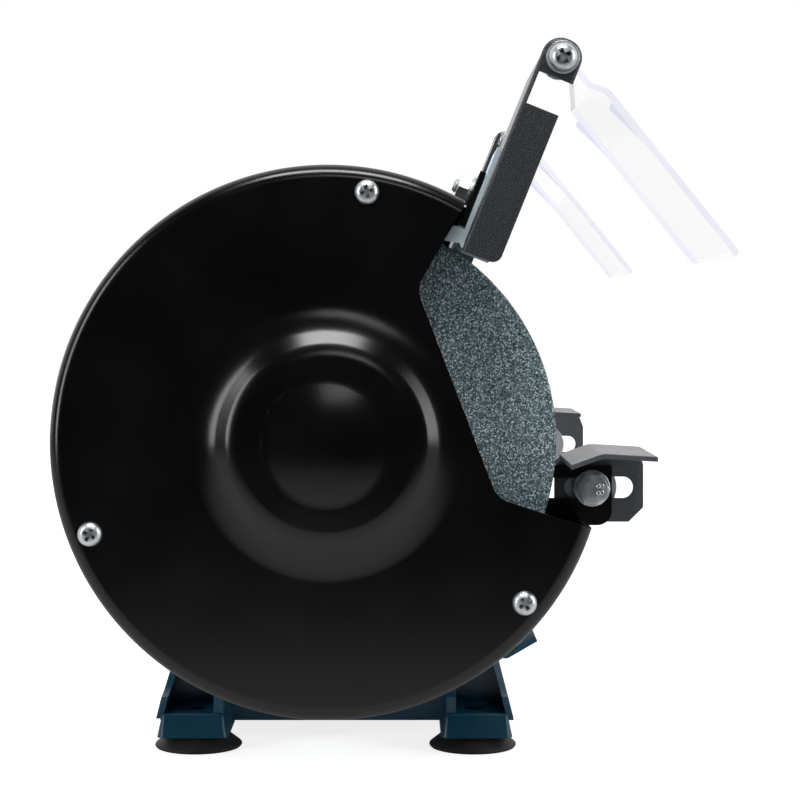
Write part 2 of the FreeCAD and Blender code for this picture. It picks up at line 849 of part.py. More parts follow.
# Inner guard: drawn pan, open towards the operator, with the slotted tab for the rest
guard = new_body("guard")
sketch = axial_sketch(guard)
BAND = "dims.guard_band_diameter / 2"
BAND_END = f"({BACK_REAR} + dims.guard_band_width)"
outline(sketch, [
    (BACK_REAR, "dims.guard_shaft_hole / 2"),
    (BACK_REAR, BAND, "dims.guard_bend"),
    (BAND_END, BAND),
    (BAND_END, f"{BAND} - dims.guard_sheet"),
    (BACK_FRONT, f"{BAND} - dims.guard_sheet", "dims.guard_bend - dims.guard_sheet"),
    (BACK_FRONT, "dims.guard_shaft_hole / 2"),
])
revolve(guard, sketch)
FLANGE_FRONT = "(-dims.arrester_sheet - dims.slide_gap)"
FLANGE_REAR = f"({FLANGE_FRONT} - dims.guard_flange_sheet)"
OPEN_REACH = "(dims.cover_diameter / 2 + 20)"
LOW_COS = "cos(dims.opening_bottom_angle)"
LOW_SIN = "sin(dims.opening_bottom_angle)"
sketch = side_sketch(guard, f"{BACK_REAR} - 1")
outline(sketch, [
    on_bracket("-14", FLANGE_REAR) + ("dims.opening_corner",),
    on_bracket("50", FLANGE_REAR),
    (OPEN_REACH, OPEN_REACH),
    (OPEN_REACH, f"-{OPEN_REACH} * {LOW_SIN} / {LOW_COS}"),
    (f"dims.opening_inner_radius * {LOW_COS}", f"-dims.opening_inner_radius * {LOW_SIN}", "dims.opening_corner"),
])
pocket(guard, sketch, "dims.guard_band_width + 2", reverse=True)
sketch = side_sketch(guard, BACK_REAR)
outline(sketch, [
    ("dims.opening_inner_radius - 8", "-dims.tab_top"),
    ("dims.tab_reach", "-dims.tab_top"),
    ("dims.tab_reach", "-dims.tab_bottom", "dims.tab_corner"),
    ("dims.opening_inner_radius - 8", "-dims.tab_bottom"),
])
pad(guard, sketch, "dims.guard_sheet")
sketch = side_sketch(guard, f"{BACK_REAR} - 1")
slot(
    sketch, "dims.tab_slot_start", "dims.rest_bolt_forward + dims.tab_slot_width / 2",
    "-dims.rest_bolt_down", "dims.tab_slot_width",
)
pocket(guard, sketch, "dims.guard_sheet + 2", reverse=True)
sketch = side_sketch(guard, f"{BACK_FRONT} + 2")
outline(sketch, [
    on_bracket("dims.guard_flange_start", FLANGE_REAR),
    on_bracket("dims.guard_flange_start", FLANGE_FRONT),
    on_bracket("dims.guard_flange_end", FLANGE_FRONT),
    on_bracket("dims.guard_flange_end", FLANGE_REAR),
])
pad(guard, sketch, "dims.guard_band_width - dims.guard_sheet - 2")
drill_guard_screws(guard, f"{BACK_REAR} - 1", "dims.guard_sheet + 2", "dims.slide_gap")
clamp_hole = doc.addObject("Part::Cylinder", "clamp_hole")
bind(clamp_hole, Radius="dims.clamp_diameter / 2 + dims.slide_gap", Height="12")
lean_out(clamp_hole, "-6 - dims.arrester_sheet - dims.guard_flange_sheet / 2")
both_sides(cut(guard, [clamp_hole]), "guard")

# Screws through the guard's back into the end bell
guard_screws = []
for angle in GUARD_SCREW_ANGLES:
    screw = pan_screw(
        "guard_screw", "dims.guard_screw_head", "dims.guard_screw_head_height",
        "dims.guard_screw_diameter", "dims.guard_screw_length",
    )
    place_x(
        screw, BACK_FRONT, f"dims.guard_screw_circle / 2 * cos({angle})",
        f"dims.shaft_height + dims.guard_screw_circle / 2 * sin({angle})",
    )
    guard_screws += [screw, mirror(screw)]
group(guard_screws, "guard_screws")

# Guard cover: stepped dome, rolled edge and the grinding opening
cover = new_body("cover")
sketch = axial_sketch(cover)
COVER = "dims.cover_diameter / 2"
SHEET = "dims.cover_sheet"
RISES = [
    ("dims.dome_rise", "dims.dome_crown_diameter / 2", "60"),
    ("dims.dome_ring_rise + dims.dome_cap_step", "dims.dome_cap_diameter / 2", "25"),
    ("dims.dome_ring_rise", "dims.dome_ring_diameter / 2", "dims.dome_ring_round"),
    ("0", "dims.dome_diameter / 2", "dims.dome_foot_round"),
]
outer_line = [(f"{COVER_FACE} + {rise}", radius, bend) for rise, radius, bend in RISES]
inner_line = [
    (f"{COVER_FACE} + {rise} - {SHEET}", f"{radius} - {SHEET} * 0.4", bend) for rise, radius, bend in reversed(RISES)
]
outline(sketch, [(f"{COVER_FACE} + dims.dome_rise", "0")] + outer_line + [
    (COVER_FACE, COVER, "dims.cover_roll"),
    (f"{COVER_FACE} - dims.cover_skirt", COVER),
    (f"{COVER_FACE} - dims.cover_skirt", f"{COVER} - {SHEET}"),
    (f"{COVER_FACE} - {SHEET}", f"{COVER} - {SHEET}", f"dims.cover_roll - {SHEET}"),
] + inner_line + [(f"{COVER_FACE} + dims.dome_rise - {SHEET}", "0")])
revolve(cover, sketch)
TOP_COS = "cos(dims.opening_top_angle)"
TOP_SIN = "sin(dims.opening_top_angle)"
sketch = side_sketch(cover, f"{COVER_FACE} - dims.cover_skirt - 1")
outline(sketch, [
    (f"dims.opening_inner_radius * {TOP_COS}", f"dims.opening_inner_radius * {TOP_SIN}", "dims.opening_corner"),
    (f"{OPEN_REACH} * {TOP_COS}", f"{OPEN_REACH} * {TOP_SIN}"),
    (f"{OPEN_REACH} * 2", f"{OPEN_REACH} * {TOP_SIN}"),
    (f"{OPEN_REACH} * 2", f"-{OPEN_REACH} * 2 * {LOW_SIN} / {LOW_COS}"),
    (f"dims.opening_inner_radius * {LOW_COS}", f"-dims.opening_inner_radius * {LOW_SIN}", "dims.opening_corner"),
])
pocket(cover, sketch, "dims.cover_skirt + dims.dome_rise + 2", reverse=True)
SCREW_ANGLES = [f"(dims.cover_screw_angle + {120 * k})" for k in range(3)]
SCREW_RADIUS = "dims.cover_screw_circle / 2"
sketch = side_sketch(cover, f"{COVER_FACE} - {SHEET} - 1")
for angle in SCREW_ANGLES:
    circle(
        sketch, f"{SCREW_RADIUS} * cos({angle})", f"{SCREW_RADIUS} * sin({angle})",
        "dims.cover_screw_diameter / 2 + dims.slide_gap",
    )
pocket(cover, sketch, f"{SHEET} + 2", reverse=True)
both_sides(cover, "cover")

# Posts inside the rim, and the screws that draw the covers onto them
posts = []
screws = []
POST_LENGTH = f"({COVER_FACE} - {SHEET} - {BACK_FRONT})"
POST_NARROW = "dims.cover_post_diameter / 2 - dims.cover_post_chamfer"
for angle in SCREW_ANGLES:
    forward = f"{SCREW_RADIUS} * cos({angle})"
    up = f"dims.shaft_height + {SCREW_RADIUS} * sin({angle})"
    post = new_body("cover_post")
    sketch = new_sketch(post, "XZ_Plane")
    outline(sketch, [
        ("0", "0"),
        (POST_NARROW, "0"),
        ("dims.cover_post_diameter / 2", "dims.cover_post_chamfer"),
        ("dims.cover_post_diameter / 2", f"{POST_LENGTH} - dims.cover_post_chamfer"),
        (POST_NARROW, POST_LENGTH),
        ("0", POST_LENGTH),
    ])
    revolve(post, sketch, "V_Axis")
    sketch = new_sketch(post, "XY_Plane", z=POST_LENGTH)
    circle(sketch, "0", "0", "dims.cover_screw_diameter / 2 + dims.fit_gap")
    pocket(post, sketch, "dims.cover_screw_length")
    place_x(post, BACK_FRONT, forward, up)
    posts += [post, mirror(post)]
    screw = pan_screw(
        "cover_screw", "dims.cover_screw_head", "dims.cover_screw_head_height",
        "dims.cover_screw_diameter", "dims.cover_screw_length",
    )
    place_x(screw, COVER_FACE, forward, up)
    screws += [screw, mirror(screw)]
group(posts, "cover_posts")
group(screws, "cover_screws")

# Shield bracket: folded sheet with a long side flange and one hinge ear
bracket = new_body("bracket")
EAR_OUT = f"({WHEEL} + dims.bracket_overhang)"
HALF_LEFT = "-dims.bracket_overhang"
HALF_RIGHT = "dims.bracket_width - dims.bracket_overhang"
sketch = new_sketch(bracket, "XZ_Plane")
box_outline(sketch, HALF_LEFT, HALF_RIGHT, "dims.bracket_plate_start", "dims.bracket_plate_end")
pad(bracket, sketch, "dims.bracket_sheet")
UPRIGHT = Rotation(Vector(0, 1, 0), 180)
sketch = new_sketch(bracket, "YZ_Plane", UPRIGHT, z=f"{HALF_LEFT} + dims.bracket_sheet")
outline(sketch, [
    ("0", "0"),
    ("dims.bracket_flange_depth", "0", "3"),
    ("dims.bracket_flange_depth", "dims.bracket_flange_length"),
    ("0", "dims.bracket_flange_length"),
])
pad(bracket, sketch, "dims.bracket_sheet")
sketch = new_sketch(bracket, "YZ_Plane", UPRIGHT, z=f"{HALF_LEFT} + dims.bracket_sheet")
EAR_TOP = "dims.pivot_along + dims.ear_width / 2"
outline(sketch, [
    ("0", "dims.ear_start"),
    ("dims.pivot_out + dims.ear_width / 2", "dims.ear_start"),
    ("dims.pivot_out + dims.ear_width / 2", EAR_TOP, "dims.ear_width / 2 - 0.1"),
    ("0", EAR_TOP, "dims.ear_width / 2 - 0.1"),
])
pad(bracket, sketch, "dims.bracket_sheet")
sketch = new_sketch(bracket, "YZ_Plane", UPRIGHT, z=f"{HALF_LEFT} + dims.bracket_sheet + 1")
circle(sketch, "dims.pivot_out", "dims.pivot_along", "dims.pivot_diameter / 2 + dims.fit_gap")
pocket(bracket, sketch, "dims.bracket_sheet + 2", reverse=True)


def cut_clamp_slot(body, depth):
    """Slot along the bracket that lets it ride past the clamp bolt."""
    sketch = new_sketch(body, "XZ_Plane", Rotation(Vector(0, 0, 1), 90), z="-10")
    reach = "dims.clamp_diameter / 2 + dims.slide_gap"
    slot(
        sketch, f"dims.clamp_along - dims.bracket_travel - {reach} - 0.3", f"dims.clamp_along + {reach} + 0.3",
        "0", f"2 * ({reach})",
    )
    return pocket(body, sketch, depth, reverse=True)


cut_clamp_slot(bracket, "20")
FOLD = value(HALF_LEFT)
round_edges(
    bracket, "dims.bracket_bend",
    lambda box: near(box.XMin, FOLD) and near(box.XMax, FOLD) and near(box.YMin, 0) and near(box.YMax, 0),
)
lean(bracket)
both_sides(bracket, "shield_bracket")

# Spark arrester: plated leg behind the bracket, lip over the wheel and one side wing
arrester = new_body("arrester")
ARRESTER_REAR = "(-dims.arrester_sheet)"
sketch = new_sketch(arrester, "YZ_Plane", UPRIGHT)
LIP_TOP = "(dims.arrester_start + dims.arrester_sheet)"
outline(sketch, [
    (ARRESTER_REAR, "dims.arrester_start", "dims.arrester_sheet + 0.8"),
    ("dims.arrester_lip", "dims.arrester_start"),
    ("dims.arrester_lip", LIP_TOP),
    ("0", LIP_TOP, "0.8"),
    ("0", "dims.arrester_end"),
    (ARRESTER_REAR, "dims.arrester_end"),
])
pad(arrester, sketch, "dims.arrester_width", midplane=True)
sketch = new_sketch(arrester, "YZ_Plane", UPRIGHT, z="-dims.arrester_width / 2 + dims.arrester_sheet")
outline(sketch, [
    ("-dims.arrester_wing_depth", "dims.arrester_start"),
    ("0", "dims.arrester_start + 1.5"),
    ("0", "dims.arrester_start + dims.arrester_wing_end"),
    ("-dims.arrester_wing_depth", "dims.arrester_start + dims.arrester_wing_end", "3"),
])
pad(arrester, sketch, "dims.arrester_sheet")
cut_clamp_slot(arrester, "20")
lean(arrester)
both_sides(arrester, "spark_arrester")

# Clamp bolt, washer and nut that hold bracket and arrester to the guard's flange
HEAD_SEAT = "(dims.bracket_sheet + dims.fit_gap)"
NUT_STACK = f"({FLANGE_REAR} - dims.washer_thickness - dims.clamp_nut)"
clamp_bolt = hex_bolt(
    "clamp_bolt", "dims.clamp_flats", "dims.clamp_head", "dims.clamp_diameter", f"{HEAD_SEAT} - {NUT_STACK} + 1.5",
)
lean_out(clamp_bolt, HEAD_SEAT)
clamp_washer = washer(
    "clamp_washer", "dims.clamp_washer", "dims.clamp_diameter + 2 * dims.slide_gap", "dims.washer_thickness",
)
lean_out(clamp_washer, f"{FLANGE_REAR} - dims.washer_thickness")
clamp_nut = hex_nut("clamp_nut", "dims.clamp_flats", "dims.clamp_nut", "dims.clamp_diameter + 2 * dims.fit_gap")
lean_out(clamp_nut, NUT_STACK)
group([clamp_bolt, mirror(clamp_bolt)], "clamp_bolts")
group([clamp_washer, clamp_nut, mirror(clamp_washer), mirror(clamp_nut)], "clamp_nuts")

# Pivot screw, washers and nut at the hinge ear
PIVOT_FORWARD, PIVOT_RISE = on_bracket("dims.pivot_along", "dims.pivot_out")
PIVOT_UP = f"dims.shaft_height + {PIVOT_RISE}"
BOSS_OUT = f"({EAR_OUT} - dims.bracket_sheet - dims.slide_gap)"
BOSS_IN = f"({BOSS_OUT} - dims.shield_boss_length)"
PIVOT_NUT = f"({BOSS_IN} - dims.slide_gap - dims.washer_thickness - dims.pivot_nut_height)"
pivot_washer = washer(
    "pivot_washer", "dims.pivot_washer", "dims.pivot_diameter + 2 * dims.slide_gap", "dims.washer_thickness",
)
place_x(pivot_washer, EAR_OUT, PIVOT_FORWARD, PIVOT_UP)
back_washer = washer(
    "back_washer", "dims.pivot_washer", "dims.pivot_diameter + 2 * dims.slide_gap", "dims.washer_thickness",
)
place_x(back_washer, f"{PIVOT_NUT} + dims.pivot_nut_height", PIVOT_FORWARD, PIVOT_UP)
pivot_screw = pan_screw(
    "pivot_screw", "dims.pivot_head", "dims.pivot_head_height", "dims.pivot_diameter",
    f"{EAR_OUT} + dims.washer_thickness - {PIVOT_NUT} + 1.5",
)
place_x(pivot_screw, f"{EAR_OUT} + dims.washer_thickness", PIVOT_FORWARD, PIVOT_UP)
pivot_nut = hex_nut(
    "pivot_nut", "dims.pivot_nut_flats", "dims.pivot_nut_height", "dims.pivot_diameter + 2 * dims.fit_gap",
)
place_x(pivot_nut, PIVOT_NUT, PIVOT_FORWARD, PIVOT_UP)
pivot_set = [pivot_screw, pivot_washer, back_washer, pivot_nut]
group(pivot_set, "left_pivot_screw")
group([mirror(piece) for piece in pivot_set], "right_pivot_screw")

# Eye shield: clear sheet that narrows to a hinge boss, with a tapering rib down each side
shield = new_body("shield")
BOSS_X = f"({WHEEL} - {BOSS_OUT})"
BOSS_END = f"({BOSS_X} + dims.shield_boss_length)"
NECK_X = f"({BOSS_X} + dims.shield_neck_width)"
NECK_CLEAR = "-dims.pivot_washer / 2 - 1"
OUTBOARD = "-dims.shield_outboard"
INBOARD = "dims.shield_inboard"
sketch = new_sketch(shield, "XZ_Plane", z="dims.shield_offset - dims.shield_sheet")
outline(sketch, [
    (BOSS_X, "0"),
    (BOSS_X, "-dims.shield_neck_start", "2"),
    (OUTBOARD, "-dims.shield_start", "dims.shield_corner"),
    (OUTBOARD, "-dims.shield_end", "dims.shield_corner"),
    (INBOARD, "-dims.shield_end", "dims.shield_corner"),
    (INBOARD, "-dims.shield_inboard_start", "dims.shield_corner"),
    (NECK_X, NECK_CLEAR, "3"),
    (BOSS_END, NECK_CLEAR),
    (BOSS_END, "0"),
])
pad(shield, sketch, "dims.shield_sheet")
sketch = new_sketch(shield, "YZ_Plane", z=BOSS_X)
circle(sketch, "0", "0", "dims.shield_boss_diameter / 2")
pad(shield, sketch, "dims.shield_boss_length")
RIB_FACE = "-(dims.shield_offset - dims.shield_sheet / 2)"
for reach, start in (
    (OUTBOARD, "(-dims.shield_start - dims.shield_corner)"),
    (f"{INBOARD} - dims.shield_sheet", "(-dims.shield_inboard_start - dims.shield_corner)"),
):
    sketch = new_sketch(shield, "YZ_Plane", z=reach)
    outline(sketch, [
        (RIB_FACE, start),
        (f"{RIB_FACE} + dims.shield_rib_depth", start, "1.5"),
        (RIB_FACE, f"{start} - dims.shield_rib_length"),
    ])
    pad(shield, sketch, "dims.shield_sheet")
sketch = new_sketch(shield, "YZ_Plane", z=f"{BOSS_X} - 1")
circle(sketch, "0", "0", "dims.pivot_diameter / 2 + dims.fit_gap")
pocket(shield, sketch, "dims.shield_boss_length + 2", reverse=True)
shield.Placement = Placement(Vector(), Rotation(Vector(1, 0, 0), 39))
bind(
    shield,
    Placement__Base__x=f"-({WHEEL})",
    Placement__Base__y=f"-({PIVOT_FORWARD})",
    Placement__Base__z=PIVOT_UP,
    Placement__Rotation__Angle="-dims.shield_lean",
)
both_sides(shield, "eye_shield")

# Tool rest: bent table on a slotted leg that lies behind the guard's tab
rest = new_body("rest")
LEG_FRONT = f"({BACK_REAR} - dims.slide_gap)"
LEG_REAR = f"({LEG_FRONT} - dims.rest_sheet)"
sketch = side_sketch(rest, LEG_REAR)
outline(sketch, [
    ("dims.rest_edge_forward", "-dims.rest_edge_down"),
    ("dims.rest_bend_forward", "-dims.rest_bend_down", "6"),
    ("dims.rest_end_forward", "-dims.rest_end_down"),
    ("dims.rest_end_forward", "-dims.rest_end_down - dims.rest_sheet * 0.8"),
    ("dims.rest_bend_forward", "-dims.rest_bend_down - dims.rest_sheet * 0.8", "4.5"),
    ("dims.rest_edge_forward", "-dims.rest_edge_down - dims.rest_sheet * 0.8"),
])
pad(rest, sketch, "dims.rest_width")
sketch = side_sketch(rest, LEG_REAR)
outline(sketch, [
    ("dims.rest_bend_forward", "-dims.rest_bend_down - dims.rest_sheet * 0.4"),
    ("dims.rest_leg_end - 2", "-dims.rest_end_down - dims.rest_sheet * 0.4"),
    ("dims.rest_leg_end", "-dims.rest_end_down - 6"),
    ("dims.rest_leg_end", "-dims.rest_leg_down + dims.rest_leg_chamfer"),
    ("dims.rest_leg_end - dims.rest_leg_chamfer", "-dims.rest_leg_down"),
    ("dims.rest_leg_start", "-dims.rest_leg_down", "4"),
    ("dims.rest_leg_start", "-dims.rest_edge_down - 4"),
    ("dims.rest_edge_forward + 1", "-dims.rest_edge_down - dims.rest_sheet * 0.4"),
])
pad(rest, sketch, "dims.rest_sheet")
sketch = side_sketch(rest, f"{LEG_REAR} - 1")
slot(sketch, "dims.rest_slot_start", "dims.rest_slot_end", "-dims.rest_bolt_down", "dims.rest_slot_width")
pocket(rest, sketch, "dims.rest_sheet + 2", reverse=True)
both_sides(rest, "tool_rest")

# Rest bolt with its washers and nut
BOLT_UP = "dims.shaft_height - dims.rest_bolt_down"
FRONT_WASHER = f"({BACK_FRONT} + dims.slide_gap)"
BACK_WASHER = f"({LEG_REAR} - dims.slide_gap - dims.rest_washer_thickness)"
REST_NUT = f"({BACK_WASHER} - dims.rest_nut_height)"
front_washer = washer(
    "front_washer", "dims.rest_washer", "dims.rest_bolt_diameter + 2 * dims.fit_gap", "dims.rest_washer_thickness",
)
place_x(front_washer, FRONT_WASHER, "dims.rest_bolt_forward", BOLT_UP)
rear_washer = washer(
    "rear_washer", "dims.rest_back_washer", "dims.rest_bolt_diameter + 2 * dims.fit_gap",
    "dims.rest_washer_thickness",
)
place_x(rear_washer, BACK_WASHER, "dims.rest_bolt_forward", BOLT_UP)
HEAD_FACE = f"({FRONT_WASHER} + dims.rest_washer_thickness)"
rest_bolt = hex_bolt(
    "rest_bolt", "dims.rest_bolt_flats", "dims.rest_bolt_head", "dims.rest_bolt_diameter",
    f"{HEAD_FACE} - {REST_NUT} + 2",
)
place_x(rest_bolt, HEAD_FACE, "dims.rest_bolt_forward", BOLT_UP)
rest_nut = hex_nut(
    "rest_nut", "dims.rest_bolt_flats", "dims.rest_nut_height", "dims.rest_bolt_diameter + 2 * dims.fit_gap",
)
place_x(rest_nut, REST_NUT, "dims.rest_bolt_forward", BOLT_UP)
both_sides(rest_bolt, "rest_bolt")
both_sides(rest_nut, "rest_nut")
group([front_washer, rear_washer], "left_rest_washers")
group([mirror(front_washer), mirror(rear_washer)], "right_rest_washers")


# Base casting: hollow pedestal with sloping front and rear walls
def half_depth(level, inset="0"):
    """Distance from the middle to the sloping wall at a height, less an inset."""
    return f"(dims.base_depth / 2 - ({level} - dims.base_bottom) * dims.base_slope - ({inset}))"


def pedestal(name, inset, low, length):
    body = new_body(name)
    sketch = new_sketch(body, "YZ_Plane")
    outline(sketch, [
        (f"-{half_depth(low, inset)}", low),
        (half_depth(low, inset), low),
        (half_depth("dims.base_top", inset), "dims.base_top"),
        (f"-{half_depth('dims.base_top', inset)}", "dims.base_top"),
    ])
    pad(body, sketch, length, midplane=True)
    return body


def along_shaft(name, radius, length):
    """A cylinder about the shaft axis, centred on the machine."""
    cylinder = doc.addObject("Part::Cylinder", name)
    cylinder.Placement = Placement(Vector(), Rotation(Vector(0, 1, 0), 90))
    bind(
        cylinder, Radius=radius, Height=length,
        Placement__Base__x=f"-({length}) / 2", Placement__Base__z="dims.shaft_height",
    )
    return cylinder


SHELL_SEAT = "dims.shell_diameter / 2 + dims.fit_gap"
block = pedestal("block", "0", "dims.base_bottom", "dims.base_length")
hollow_length = "(dims.base_length - 2 * dims.base_end_wall)"
hollow = pedestal("hollow", "dims.base_wall", "dims.base_bottom - 1", hollow_length)
saddle = along_shaft("saddle", f"{SHELL_SEAT} + dims.saddle_web", "dims.base_length")
walls = cut(block, [cut(hollow, [saddle])])


def mounting_foot():
    """One foot: pad with the bench hole, and two ribs that leave a pocket between them."""
    body = new_body("foot")
    sketch = new_sketch(body, "XY_Plane", z="dims.foot_bottom")
    wall = "dims.base_length / 2 - dims.base_end_wall + 1"
    inner_edge = "dims.foot_outer - dims.foot_width"
    outline(sketch, [
        (wall, inner_edge),
        ("dims.foot_reach", inner_edge, "dims.foot_corner"),
        ("dims.foot_reach", "dims.foot_outer", "dims.foot_corner"),
        (wall, "dims.foot_outer"),
    ])
    pad(body, sketch, "dims.foot_top - dims.foot_bottom").setExpression("TaperAngle", "-dims.foot_draft")
    top = value("dims.foot_top")
    end_wall = value("dims.base_length / 2")
    round_edges(
        body, "dims.foot_round", lambda box: near(box.ZMin, top) and near(box.ZMax, top) and box.XMax > end_wall,
    )
    reach = "dims.foot_reach - dims.foot_corner - 1.5 - dims.base_length / 2 + dims.base_end_wall"
    sketch = new_sketch(body, "YZ_Plane", z=wall)
    start = "(dims.foot_top - 2)"
    outline(sketch, [
        (half_depth(start), start),
        (half_depth(start, "dims.foot_rib"), start),
        (half_depth("dims.foot_rib_top", "dims.foot_rib"), "dims.foot_rib_top"),
        (half_depth("dims.foot_rib_top"), "dims.foot_rib_top"),
    ])
    pad(body, sketch, reach)
    sketch = new_sketch(body, "YZ_Plane", z=wall)
    box_outline(
        sketch, f"{inner_edge} + 2", f"{inner_edge} + 2 + dims.foot_inner_rib", start, "dims.foot_rib_top",
    )
    pad(body, sketch, reach)
    rib_root = "dims.base_length / 2 - 0.5"
    sketch = new_sketch(body, "XZ_Plane")
    outline(sketch, [
        ("dims.foot_reach + 1", "dims.foot_rib_shoulder - 1"),
        ("dims.foot_reach + 1", "dims.foot_rib_top + 5"),
        (rib_root, "dims.foot_rib_top + 5"),
        (rib_root, "dims.foot_rib_top - 6", "dims.foot_rib_sweep"),
        ("dims.foot_reach - 8", "dims.foot_rib_shoulder", "dims.foot_rib_sweep"),
    ])
    pocket(body, sketch, "dims.base_depth", midplane=True)
    sketch = new_sketch(body, "XY_Plane", z="dims.foot_bottom - 1")
    circle(sketch, "dims.hole_spacing_x / 2", "dims.hole_spacing_y / 2", "dims.bench_hole_diameter / 2")
    pocket(body, sketch, "dims.foot_top - dims.foot_bottom + 2", reverse=True)
    return body


foot = mounting_foot()
near_pair = [foot, mirror(foot, Vector(0, 1, 0))]
feet = near_pair + [mirror(piece) for piece in near_pair]

# Screw posts for the bottom plate, and the boss behind the cord gland
PLATE_TOP = "(dims.base_bottom + dims.plate_sheet)"
plate_posts = []
for x_side in (-1, 1):
    for y_side in (-1, 1):
        post = doc.addObject("Part::Cylinder", "plate_post")
        bind(
            post,
            Radius="dims.plate_post_diameter / 2",
            Height="dims.plate_post_height",
            Placement__Base__x=f"{x_side} * dims.plate_screw_x / 2",
            Placement__Base__y=f"{y_side} * dims.plate_screw_y / 2",
            Placement__Base__z=PLATE_TOP,
        )
        hole = doc.addObject("Part::Cylinder", "plate_post_hole")
        bind(
            hole,
            Radius="dims.plate_screw_diameter / 2 + dims.fit_gap",
            Height="dims.plate_screw_length",
            Placement__Base__x=f"{x_side} * dims.plate_screw_x / 2",
            Placement__Base__y=f"{y_side} * dims.plate_screw_y / 2",
            Placement__Base__z=PLATE_TOP,
        )
        plate_posts.append((post, hole))


def along_y(name, radius, start, end):
    """A cylinder through the rear wall at the cord gland."""
    cylinder = doc.addObject("Part::Cylinder", name)
    cylinder.Placement = Placement(Vector(), Rotation(Vector(1, 0, 0), -90))
    bind(
        cylinder, Radius=radius, Height=f"({end}) - ({start})",
        Placement__Base__x="dims.gland_x", Placement__Base__y=start, Placement__Base__z="dims.gland_height",
    )
    return cylinder


gland_boss = along_y("gland_boss", "dims.gland_boss_diameter / 2", "dims.gland_face - 8", "dims.gland_face")
gland_hole = along_y(
    "gland_hole", "dims.gland_thread / 2 + dims.fit_gap", "dims.gland_face - 20", "dims.gland_face + 1",
)

# The switch sits square to the sloping front wall
WALL_LEAN = "atan(dims.base_slope)"


def on_front(obj, x="0", y="0", z="0"):
    """Turn a piece so that its -Y points out of the front wall at the switch."""
    obj.Placement = Placement(Vector(), Rotation(Vector(1, 0, 0), -14))
    bind(
        obj,
        Placement__Base__x=x,
        Placement__Base__y=f"-{half_depth('dims.switch_height')} + ({y}) * cos({WALL_LEAN}) + ({z}) * sin({WALL_LEAN})",
        Placement__Base__z=f"dims.switch_height - ({y}) * sin({WALL_LEAN}) + ({z}) * cos({WALL_LEAN})",
        Placement__Rotation__Angle=f"-{WALL_LEAN}",
    )


def switch_block(name, width, depth, height, gap):
    """A block that passes through the front wall at the switch."""
    block = doc.addObject("Part::Box", name)
    bind(block, Length=f"{width} + 2 * ({gap})", Width=depth, Height=f"{height} + 2 * ({gap})")
    return block


switch_opening = switch_block(
    "switch_opening", "dims.switch_hole_width", "dims.switch_body_depth", "dims.switch_hole_height", "dims.slide_gap",
)
on_front(
    switch_opening, "-dims.switch_hole_width / 2 - dims.slide_gap", "-2",
    "-dims.switch_hole_height / 2 - dims.slide_gap",
)


def at_lip_screw(obj, side, depth, turn):
    """Set a piece made along its own Z on a screw axis of the lip, square to the front wall."""
    obj.Placement = Placement(Vector(), Rotation(Vector(1, 0, 0), 76))
    bind(
        obj,
        Placement__Base__x=f"{side} * dims.lip_screw_x / 2",
        Placement__Base__y=f"-{half_depth('dims.lip_screw_z')} + ({depth}) * cos({WALL_LEAN})",
        Placement__Base__z=f"dims.lip_screw_z - ({depth}) * sin({WALL_LEAN})",
        Placement__Rotation__Angle=f"{turn} deg - {WALL_LEAN}",
    )


def lip_bore(side, gap):
    """A hole through the front wall and the flange of the lip."""
    bore = doc.addObject("Part::Cylinder", "lip_bore")
    bind(bore, Radius=f"dims.lip_screw_diameter / 2 + {gap}", Height="4 * dims.base_wall")
    at_lip_screw(bore, side, "2 * dims.base_wall", 90)
    return bore


wall_bores = [lip_bore(side, "dims.slide_gap") for side in (-1, 1)]
motor_seat = along_shaft("motor_seat", SHELL_SEAT, "dims.base_length + 2 * dims.foot_reach")
casting = fuse([walls, gland_boss] + feet + [post for post, hole in plate_posts])
casting = cut(casting, [motor_seat, switch_opening, gland_hole] + wall_bores + [hole for post, hole in plate_posts])
keep(casting, "base_casting")

# Bottom plate and its screws
plate = new_body("plate")
sketch = new_sketch(plate, "XY_Plane", z="dims.base_bottom")
PLATE_X = f"({hollow_length} / 2 - dims.slide_gap)"
PLATE_Y = half_depth("dims.base_bottom", "(dims.base_wall + 1)")
box_outline(sketch, f"-{PLATE_X}", PLATE_X, f"-{PLATE_Y}", PLATE_Y, "3")
for x_side in (-1, 1):
    for y_side in (-1, 1):
        circle(
            sketch, f"{x_side} * dims.plate_screw_x / 2", f"{y_side} * dims.plate_screw_y / 2",
            "dims.plate_screw_diameter / 2 + dims.slide_gap",
        )
pad(plate, sketch, "dims.plate_sheet")
keep(plate, "base_plate")
plate_screws = []
for x_side in (-1, 1):
    for y_side in (-1, 1):
        screw = pan_screw(
            "plate_screw", "dims.plate_screw_head", "dims.plate_screw_head_height",
            "dims.plate_screw_diameter", "dims.plate_screw_length",
        )
        screw.Placement = Placement(Vector(), Rotation(Vector(1, 0, 0), 180))
        bind(
            screw,
            Placement__Base__x=f"{x_side} * dims.plate_screw_x / 2",
            Placement__Base__y=f"{y_side} * dims.plate_screw_y / 2",
            Placement__Base__z="dims.base_bottom",
        )
        plate_screws.append(screw)
group(plate_screws, "base_plate_screws")

